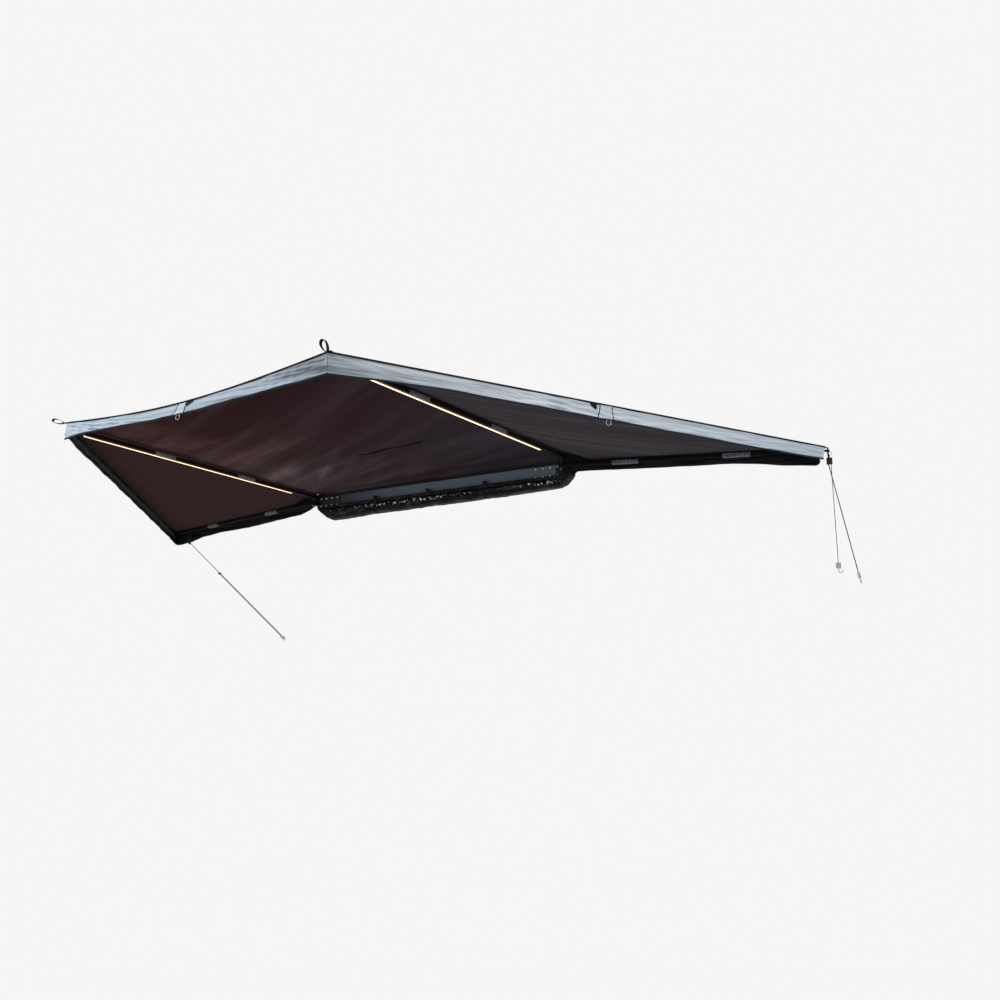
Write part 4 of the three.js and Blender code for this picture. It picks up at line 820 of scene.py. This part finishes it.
# Valances: first corner, outward directions, waves, sag of the upper edge and depth by share of the run. The
# front one's end leans inward by SLANT times its distance from the canopy's edge.
SLANT = 20
VALANCES = {
    "rear": (0, (OUTS[0], OUTS[0], miter(OUTS[0], OUTS[1])), 7, 0.0,
             [(0, 0.104), (0.08, 0.096), (0.3, 0.088), (0.7, 0.08), (0.93, 0.08), (1, 0.068)]),
    "middle": (1, (miter(OUTS[0], OUTS[1]), OUTS[1], miter(OUTS[1], OUTS[2])), 5, MIDDLE_EDGE_SAG,
               [(0, 0.098), (0.07, 0.078), (0.15, 0.066), (0.3, 0.06), (0.55, 0.062), (0.7, 0.067),
                (0.85, 0.085), (0.95, 0.1), (1, 0.106)]),
    "front": (2, (miter(OUTS[1], OUTS[2]), OUTS[2], OUTS[2] - HEADINGS[2] * SLANT), 6, 0.0,
              [(0, 0.106), (0.05, 0.098), (0.1, 0.087), (0.2, 0.077), (0.35, 0.077), (0.6, 0.08), (0.85, 0.082),
               (1, 0.076)]),
}
FOLD, FLARE, VALANCE_LAYER, CREASED_HEIGHT = 0.004, -0.003, 0.0013, 0.09
ROUGHNESS = {"rear": 0.35, "middle": 1.0, "front": 1.0}
PIPING_RADIUS, PIPING_RISE = 0.0054, 0.0005


def valance_points(place, layer, t, v):
    k, outs, waves, edge_sag, drops = VALANCES[place]
    start, end = inset(CORNERS[k], CORNERS[k + 1]), inset(CORNERS[k + 1], CORNERS[k])
    points = hanging(start, end, outs, drops, (FOLD, FLARE, waves, layer, edge_sag), t, v)
    length = np.linalg.norm(end - start)
    ease = np.clip(v / 0.15, 0, 1) * np.clip((1 - v) / 0.1, 0, 1) * np.clip(np.minimum(t, 1 - t) / 0.01, 0, 1)
    creases = crumple(t, v, length, CREASED_HEIGHT, 11 + k) * ease * ROUGHNESS[place]
    points[..., :2] += OUTS[k] * creases[..., None]
    return points


def paint_lit_band(obj, edge, top=0.03, bottom=0.062):
    """The inner faces between two depths below an edge take a lighter black, a painted band of light."""
    obj.data.materials.append(painted_lit_black)
    lit_index = len(obj.data.materials) - 1
    kinds = np.zeros(len(obj.data.polygons), dtype=np.int32)
    obj.data.polygons.foreach_get("material_index", kinds)
    inner_faces = np.flatnonzero(kinds == 1)
    middles = np.array([face.center[:] for face in obj.data.polygons])[inner_faces]
    near = np.linalg.norm(middles[:, None, :2] - edge[None, :, :2], axis=2).argmin(axis=1)
    depth = edge[near, 2] - middles[:, 2]
    kinds[inner_faces[(depth > top) & (depth < bottom)]] = lit_index
    obj.data.polygons.foreach_set("material_index", kinds)


v, t = share_grid(25, 361)
for place, (_, outs, _, _, _) in VALANCES.items():
    points = valance_points(place, VALANCE_LAYER, t, v)
    # The rear valance's inside is painted black as the shade by the canopy's edge, with a painted band of light
    inner = black_painted_shade_and_sheen if place == "rear" else LOOKS[place]
    for part, holder in zip((slice(0, 181), slice(180, 361)), HOLDERS[place]):
        name = f"valance_{place}_{holder[0]}_half"
        half = hanging_cloth(name, points, outs[1], [top_canvas, inner, piping], part)
        if place == "rear":
            paint_lit_band(half, points[0, ::30])
        carry(half, holder, "valance_" + place)
        run = points[:, part]
        trims = [edge_trim(name + "_top_piping", run[0] + UPWARD * PIPING_RISE, PIPING_RADIUS, piping, holder),
                 edge_trim(name + "_hem_tape", run[-1], PIPING_RADIUS, hem_tape, holder)]

# Patches with piped edges, a dark webbing tongue and a sleeve that holds a steel ring: shares of the valance's
# run at the patch's top, at its bottom and at the tongue's ends, the holder and the ring's centre
PATCHES = {
    "middle": ((0.495, 0.526), (0.47, 0.514), (0.526, 0.552), HOLDERS["middle"][1],
               (0.12295, -2.2942, -0.03735)),
    "front": ((0.487, 0.511), (0.486, 0.516), (0.487, 0.474), HOLDERS["front"][0],
              (1.96633, -0.96898, -0.0262)),
}
PATCH_LAYER, TONGUE_LAYER, PATCH_TOP = VALANCE_LAYER + 0.0018, VALANCE_LAYER + 0.004, 0.03
TONGUE_TOP, TONGUE_FALL, TONGUE_TAPER, PATCH_EDGE = 0.06, 0.42, 0.75, 0.0024
RING_RADIUS, RING_WIRE, SLEEVE_HALF, SLEEVE_RISE = 0.015, 0.0016, 0.009, 0.0158
SLEEVE_SECTION = flat_section(0.006, 0.005, 0.6)
v, t = share_grid(17, 17)
for place, (top, bottom, tongue, holder, ring_middle) in PATCHES.items():
    k, outs = VALANCES[place][:2]
    left, right = top[0] + (bottom[0] - top[0]) * v ** 1.6, top[1] + (bottom[1] - top[1]) * v
    points = valance_points(place, PATCH_LAYER, left + (right - left) * t, PATCH_TOP + (1 - PATCH_TOP) * v)
    patch = hanging_cloth(f"patch_{place}", points, outs[1], [patch_canvas, black_painted_shade_and_sheen, piping])
    carry(patch, holder, "valance_" + place)
    trims = [edge_trim(f"patch_{place}_edge_{side}", points[:, column], PATCH_EDGE, piping, holder)
             for side, column in enumerate((0, -1))]
    points = valance_points(place, TONGUE_LAYER, tongue[0] + (tongue[1] - tongue[0]) * t,
                            TONGUE_TOP + TONGUE_FALL * v * (1 - TONGUE_TAPER * t))
    flap = hanging_cloth(f"tongue_{place}", points, outs[1], [black_webbing, black_webbing, piping])
    carry(flap, holder)
    ahead = np.append(HEADINGS[k], 0)
    path = np.array(ring_middle) + circle(RING_RADIUS, 40) @ np.array((ahead, UPWARD))
    ring = sweep(f"ring_{place}", path, circle(RING_WIRE, 10), steel, closed=True)
    carry(ring, holder, "guy_ring_" + place)
    hold = ring_middle + np.outer(np.linspace(-SLEEVE_HALF, SLEEVE_HALF, 9), ahead) + UPWARD * SLEEVE_RISE
    sleeve = sweep(f"ring_sleeve_{place}", hold, SLEEVE_SECTION, black_webbing)
    carry(sleeve, holder, "valance_" + place)

# Flaps that hang from the two free edges: corner, holder, how far short of the corner they stop, depth of the
# end binding and depth by share of the run
FLAP_BACK, FLAP_FOLD, FLAP_WAVES, FLAP_CREASED = 0.01, 0.003, 6, 0.11
HEM_RADIUS, FREE_PIPING_RADIUS, BINDING_RADIUS, BINDING_BACK = 0.0034, 0.0036, 0.0045, 0.002
FLAPS = {
    "rear": (0, HOLDERS["rear"][0], 0.001, 0.108,
             [(0, 0.09), (0.04, 0.12), (0.1, 0.136), (0.27, 0.13), (0.44, 0.127), (0.65, 0.103), (0.78, 0.106),
              (0.87, 0.122), (0.96, 0.124), (0.985, 0.119), (1, 0.108)]),
    "front": (3, HOLDERS["front"][1], 0.05, 0.06,
              [(0, 0.168), (0.045, 0.162), (0.062, 0.131), (0.08, 0.129), (0.12, 0.125), (0.4, 0.11),
               (0.68, 0.088), (0.76, 0.09), (0.86, 0.102), (0.985, 0.106), (0.995, 0.098), (1, 0.08)]),
}
v, t = share_grid(17, 241)
for place, (k, holder, stop, end_drop, drops) in FLAPS.items():
    corner = CORNERS[k]
    start = hub_point(FREE_START[place], corner, CROWNS[place])
    run = corner - start
    begin, finish = start - unit(run) * FLAP_BACK, inset(corner, start, stop)
    points = hanging(begin, finish, (FREE[place],) * 3, drops, (FLAP_FOLD, 0.0, FLAP_WAVES, 0.0, 0.0), t, v)
    points[..., 2] -= free_dip(place, t) * (1 - v)
    ease = np.clip(v / 0.2, 0, 1) * np.clip(np.minimum(t, 1 - t) / 0.02, 0, 1)
    creases = crumple(t, v, np.linalg.norm(run), FLAP_CREASED, 21 + k) * ease
    points[..., :2] += FREE[place] * creases[..., None]
    flap = hanging_cloth(f"flap_{place}", points, FREE[place], [black_painted_shade_and_sheen, black_painted_shade_and_sheen, piping])
    carry(flap, holder, "canopy_" + place)
    edge_line = np.linspace(begin, corner, 80) - np.outer(free_dip(place, np.linspace(0, 1, 80)), UPWARD)
    end_line = np.linspace(corner, corner - UPWARD * end_drop, 12) - np.append(unit(run[:2]) * BINDING_BACK, 0)
    # The hem takes the painted lit black as a painted highlight along its roll
    trims = [edge_trim(f"flap_{place}_hem", points[-1], HEM_RADIUS, painted_lit_black, holder),
             edge_trim(f"canopy_{place}_free_piping", edge_line, FREE_PIPING_RADIUS, piping, holder),
             edge_trim(f"flap_{place}_end_binding", end_line, BINDING_RADIUS, piping, holder)]

# Cloth gussets past the ends of the track
GUSSET_Y, GUSSET_RUN, GUSSET_RISE = -0.004, (1.085, 1.132), (0.0487, 0.072)
high_by, along_by = np.meshgrid(np.linspace(*GUSSET_RISE, 5), np.linspace(*GUSSET_RUN, 9), indexing="ij")
for side, place in ((-1, "rear"), (1, "front")):
    points = np.stack([side * along_by, np.full(high_by.shape, GUSSET_Y), high_by], axis=2)
    gusset = cloth(f"canopy_{place}_gusset", points, [black_painted_shade_and_sheen], upright=True)
    fixed(gusset, "board_body", "canopy_middle")

# Rubber boots that close the canopy round the hub posts: centre x, top and bottom
BOOTS = {"rear": (-1.118, 0.0745, 0.063), "front": (1.118, 0.1195, 0.1078)}
BOOT_Y, BOOT_REACH, BOOT_WALL = -0.046, (0.06, 0.036), 0.03
oval = np.column_stack([circle(1, 48) * BOOT_REACH, np.zeros(48)])
for place, (x, upper, lower) in BOOTS.items():
    outside, inside = [], []
    for high, spread in ((upper, 1.0), ((upper + lower) / 2, 0.94), (lower, 0.86)):
        outside.append(np.array((x, BOOT_Y, high)) + oval * spread)
        inside.append(np.array((x, BOOT_Y, high)) + oval * (spread - BOOT_WALL))
    boot = lofted(f"canopy_{place}_boot", outside, black_plastic, inside)
    fixed(boot, "board_body", "canopy_middle")

# Webbing loops at the two middle corners: corner, start, tilt and turn in degrees, half width
LOOPS = {"rear": (CORNERS[1], 0.02, 14, 206, 0.012), "front": (CORNERS[2], 0.004, 60, 184, 0.016)}
LOOP_RISE, LOOP_MIDDLE, LOOP_HALF_LENGTH, TAB_BACK, TAB_AHEAD = 0.0023, 0.038, 0.037, 0.028, 0.002
webbing_section = flat_section(0.02, 0.0018)
turned = np.linspace(0, FULL_TURN, 48, endpoint=False)
for place, (corner, start, tilt, turn, half_width) in LOOPS.items():
    way, (level, steep, _) = heading(turn), heading(tilt)
    along, above = way * level + UPWARD * steep, UPWARD * level - way * steep
    foot = corner + UPWARD * LOOP_RISE
    narrow = half_width * np.sin(turned) * (1 - 0.3 * np.cos(turned))
    path = foot + way * start + np.outer(LOOP_MIDDLE - LOOP_HALF_LENGTH * np.cos(turned), along)
    path += np.outer(narrow, above)
    ups = np.outer(-np.cos(turned), along) + np.outer(np.sin(turned), above)
    band = sweep(f"tie_loop_{place}_band", path, webbing_section, black_webbing, closed=True, ups=ups)
    tab_path = foot + np.outer(np.linspace(start - TAB_BACK, start + TAB_AHEAD, 8), way)
    tab = sweep(f"tie_loop_{place}_tab", tab_path, webbing_section, black_webbing)
    for piece in (band, tab):
        fixed(piece, place + "_mid_swing", place + "_tie_loop")

# Cloth wraps round the arms
WRAP_WALL, WRAP_SWELL, WRAP_END, WRAP_RINGS = 0.0012, 0.0006, 0.9, 31
for arm in ARMS:
    ahead, aside = heading(SWINGS[arm][1]), heading(SWINGS[arm][1] + 90)
    for which in ("inner", "outer"):
        wrap = nodes[f"{arm}_{which}_wrap"]
        cad = np.array([wrap.matrix_world @ vertex.co for vertex in wrap.data.vertices])
        centre = (cad.min(axis=0) + cad.max(axis=0)) / 2
        along, across = (cad - centre) @ ahead, (cad - centre) @ aside
        reach = along.max()
        far, near = cad[along > reach * WRAP_END], cad[along < -reach * WRAP_END]
        lean = (far[:, 2].mean() - near[:, 2].mean()) / (2 * reach)
        outline = flat_section(2 * across.max(), np.ptp(near[:, 2]), 0.5, 6)
        outward = outline / np.linalg.norm(outline, axis=1, keepdims=True)
        bore = outline - outward * WRAP_WALL
        turned = np.arctan2(outline[:, 1], outline[:, 0])
        dents = rng.uniform(0, 6.3, 6)
        outer, inner = [], []
        for share in np.linspace(-1, 1, WRAP_RINGS):
            spot = centre + ahead * reach * share + UPWARD * lean * reach * share
            swell = WRAP_SWELL * (2 + np.sin(9 * share + dents[0]) * np.sin(2 * turned + dents[1])
                                  + 0.6 * np.sin(17 * share + dents[2] + 3 * turned))
            shape = outline + outward * (swell * (1 - share ** 8))[:, None]
            outer.append(spot + shape @ np.array((aside, UPWARD)))
            inner.append(spot + bore @ np.array((aside, UPWARD)))
        sleeve = lofted(f"{arm}_{which}_sleeve", outer, wrap_cloth, inner)
        fixed(sleeve, arm + "_swing", f"{arm}_{which}_wrap")

# Travel bag: a soft shell that sags between its straps
BAG_TOP, BAG_BOTTOM, BAG_BACK, BAG_FRONT = -0.0502, -0.1362, 0.032, -0.04
LIP_BACK, LIP_TOP, LIP_CHAMFER, BAG_ROUND, ROUND_STEPS = -0.0302, -0.0282, 0.003, 0.02, 8
BAG_REAR, BAG_TIP, BAG_RINGS = -1.117, 1.2, 400
STRAPS = (-0.50995, 0.00017, 0.51005)
# The floor's height, the lip's sag and the tip's rise along the bag
FLOOR_X = [-1.12, -1.09, -1.03, -0.97, -0.8, -0.6, 0.0, 0.6, 1.1, 1.146, 1.187, 1.204]
FLOOR_Z = [-0.052, -0.083, -0.122, -0.145, -0.143, -0.134, -0.128, -0.123, -0.111, -0.108, -0.078, -0.046]
LIP_SAG, LIP_X, LIP_SHARES = 0.012, [-1.117, -1.0, -0.85, 0.85, 1.0, 1.2], [1, 0.9, 0, 0, 0.5, 0]
TIP_X, TIP_RISES = [1.1, 1.19], [0, 0.022]
PINCH_REACH, SLACK_RUN, SOFT_FROM, SOFT_RUN = 0.07, 0.12, -0.07, 0.02
SLACK_OUT, SLACK_CREASE, TIGHT_CREASE, PINCH_CREASE = 0.004, 0.0005, 0.0003, 0.0012


def bag_section(count=96):
    """Even points round the bag's section, (y, z), with their outward directions."""
    outline = [(BAG_BACK, BAG_TOP)]
    for centre, start in ((BAG_BACK - BAG_ROUND, 0), (BAG_FRONT + BAG_ROUND, 90)):
        for k in range(ROUND_STEPS + 1):
            a = math.radians(start + 90 * k / ROUND_STEPS)
            outline.append((centre + BAG_ROUND * math.cos(a), BAG_BOTTOM + BAG_ROUND - BAG_ROUND * math.sin(a)))
    outline += [(BAG_FRONT, LIP_TOP - LIP_CHAMFER), (BAG_FRONT + LIP_CHAMFER, LIP_TOP), (LIP_BACK, LIP_TOP),
                (LIP_BACK, BAG_TOP)]
    loop = np.array(outline + outline[:1])
    steps = np.append(0, np.linalg.norm(np.diff(loop, axis=0), axis=1).cumsum())
    even = np.linspace(0, steps[-1], count, endpoint=False)
    made = np.stack([np.interp(even, steps, loop[:, k]) for k in range(2)], axis=1)
    ahead = np.roll(made, -1, axis=0) - np.roll(made, 1, axis=0)
    outward = np.stack([-ahead[:, 1], ahead[:, 0]], axis=1)
    outward /= np.linalg.norm(outward, axis=1, keepdims=True)
    if outward[np.argmin(made[:, 1])][1] > 0:
        outward = -outward
    return made, outward, even


section, outward, round_it = bag_section()
BAG_WAVES = [(rng.uniform(0.06, 0.3) * rng.choice((-1, 1)), rng.uniform(0.04, 0.14), rng.uniform(0, 6.3))
             for _ in range(10)]


def bag_ring(x, swell=0.0):
    """The bag's section at x, with its sag and wrinkles, moved outward by swell."""
    pinch = sum(np.exp(-((x - strap) / PINCH_REACH) ** 2) for strap in STRAPS)
    slack = np.clip(1 - pinch, 0, 1) * np.clip(min(x - BAG_REAR, BAG_TIP - x) / SLACK_RUN, 0, 1)
    soft = np.clip((SOFT_FROM - section[:, 1]) / SOFT_RUN, 0, 1)
    crease = np.zeros(len(section))
    for k, (pitch_x, pitch_s, phase) in enumerate(BAG_WAVES):
        crease += np.sin(FULL_TURN * (x / pitch_x + round_it / pitch_s) + phase) / (1 + 0.12 * k)
    radial = pinch * np.sin(round_it / 0.008 + 9 * x) * PINCH_CREASE
    push = slack * (SLACK_OUT + SLACK_CREASE * crease) + (1 - slack) * TIGHT_CREASE * crease + radial
    shape = section + outward * (soft * push + swell)[:, None]
    below = shape[:, 1] < BAG_TOP
    share = (BAG_TOP - np.interp(x, FLOOR_X, FLOOR_Z)) / (BAG_TOP - BAG_BOTTOM)
    shape[below, 1] = BAG_TOP - (BAG_TOP - shape[below, 1]) * share
    shape[~below, 1] -= LIP_SAG * np.interp(x, LIP_X, LIP_SHARES)
    shape[:, 1] += np.interp(x, TIP_X, TIP_RISES)
    return np.column_stack([np.full(len(shape), x), shape])


bag = lofted("travel_bag_shell", [bag_ring(x) for x in np.linspace(BAG_REAR, BAG_TIP, BAG_RINGS)], bag_cloth)
fixed(bag, "board_body", "travel_bag")

# Straps round the bag, each with a buckle and a tab that turns up over the board's front
STRAP_OFF, STRAP_WIDTH, STRAP_THICK, TAB_WIDTH, TAB_THICK = 0.0012, 0.026, 0.0014, 0.034, 0.005
BUCKLE_Y, BUCKLE_Z, BUCKLE_HALF, BUCKLE_RISE = -0.0445, -0.09, 0.015, 0.008
BUCKLE_WIRE, BAR_WIRE = 0.002, 0.0018
TAB_LINE = ((-0.0415, -0.052), (-0.044, -0.036), (-0.043, -0.02), (-0.041, -0.006))
TOWARD_FRONT = (0, -1, 0)
for number, x in enumerate(STRAPS, 1):
    ups = np.column_stack([np.zeros(len(outward)), outward])
    band = sweep(f"bag_strap_{number}_band", bag_ring(x, STRAP_OFF), flat_section(STRAP_WIDTH, STRAP_THICK),
                 black_webbing, closed=True, ups=ups)
    corners = [np.array((x + BUCKLE_HALF * dx, BUCKLE_Y, BUCKLE_Z + BUCKLE_RISE * dz))
               for dx, dz in ((-1, -1), (1, -1), (1, 1), (-1, 1))]
    rim = [start + (end - start) * share for start, end in zip(corners, corners[1:] + corners[:1])
           for share in (0.08, 0.3, 0.5, 0.7, 0.92)]
    buckle = sweep(f"bag_strap_{number}_buckle", rim, circle(BUCKLE_WIRE, 8), black_plastic, closed=True,
                   ups=[TOWARD_FRONT] * len(rim))
    bar_ends = [(x + side * BUCKLE_HALF, BUCKLE_Y, BUCKLE_Z) for side in (-1, 1)]
    bar = sweep(f"bag_strap_{number}_bar", np.linspace(*bar_ends, 5), circle(BAR_WIRE, 8), black_plastic)
    tab = sweep(f"bag_strap_{number}_tab", [(x, y, z) for y, z in TAB_LINE],
                flat_section(TAB_WIDTH, TAB_THICK, 0.5), black_webbing, ups=[TOWARD_FRONT] * len(TAB_LINE))
    for piece in (band, buckle, bar, tab):
        fixed(piece, "board_body", f"bag_strap_{number}")

# Studio: a plain pale floor and sky, and one soft lamp
PALE, FLOOR_HALF, FLOOR_LEVEL = 0.92, 60, -1.853
LAMP_PLACE, LAMP_AIM, LAMP_SIZE, LAMP_POWER = Vector((2.0, -7.0, 5.0)), Vector((0, -1, 0)), 5.0, 500
floor = mesh_from("floor", [(x * FLOOR_HALF, y * FLOOR_HALF, FLOOR_LEVEL)
                            for x, y in ((-1, -1), (1, -1), (1, 1), (-1, 1))], [[0, 1, 2, 3]])
floor_look, _, floor_shader = material("floor", (0.0, 0.0, 0.0), 1.0, shine=0.0)
floor_shader.inputs["Emission Color"].default_value = (PALE, PALE, PALE, 1.0)
floor_shader.inputs["Emission Strength"].default_value = 1.0
floor.data.materials.append(floor_look)
world = bpy.data.worlds.new("world")
world.use_nodes = True
world.node_tree.nodes["Background"].inputs["Color"].default_value = (PALE, PALE, PALE, 1.0)
bpy.context.scene.world = world
bpy.context.scene.view_settings.view_transform = "Standard"
lamp_data = bpy.data.lights.new("key", "AREA")
lamp_data.size = LAMP_SIZE
lamp_data.energy = LAMP_POWER
lamp = bpy.data.objects.new("key", lamp_data)
lamp_turn = (LAMP_AIM - LAMP_PLACE).to_track_quat("-Z", "Y").to_matrix().to_4x4()
lamp.matrix_world = Matrix.Translation(LAMP_PLACE) @ lamp_turn
bpy.context.scene.collection.objects.link(lamp)
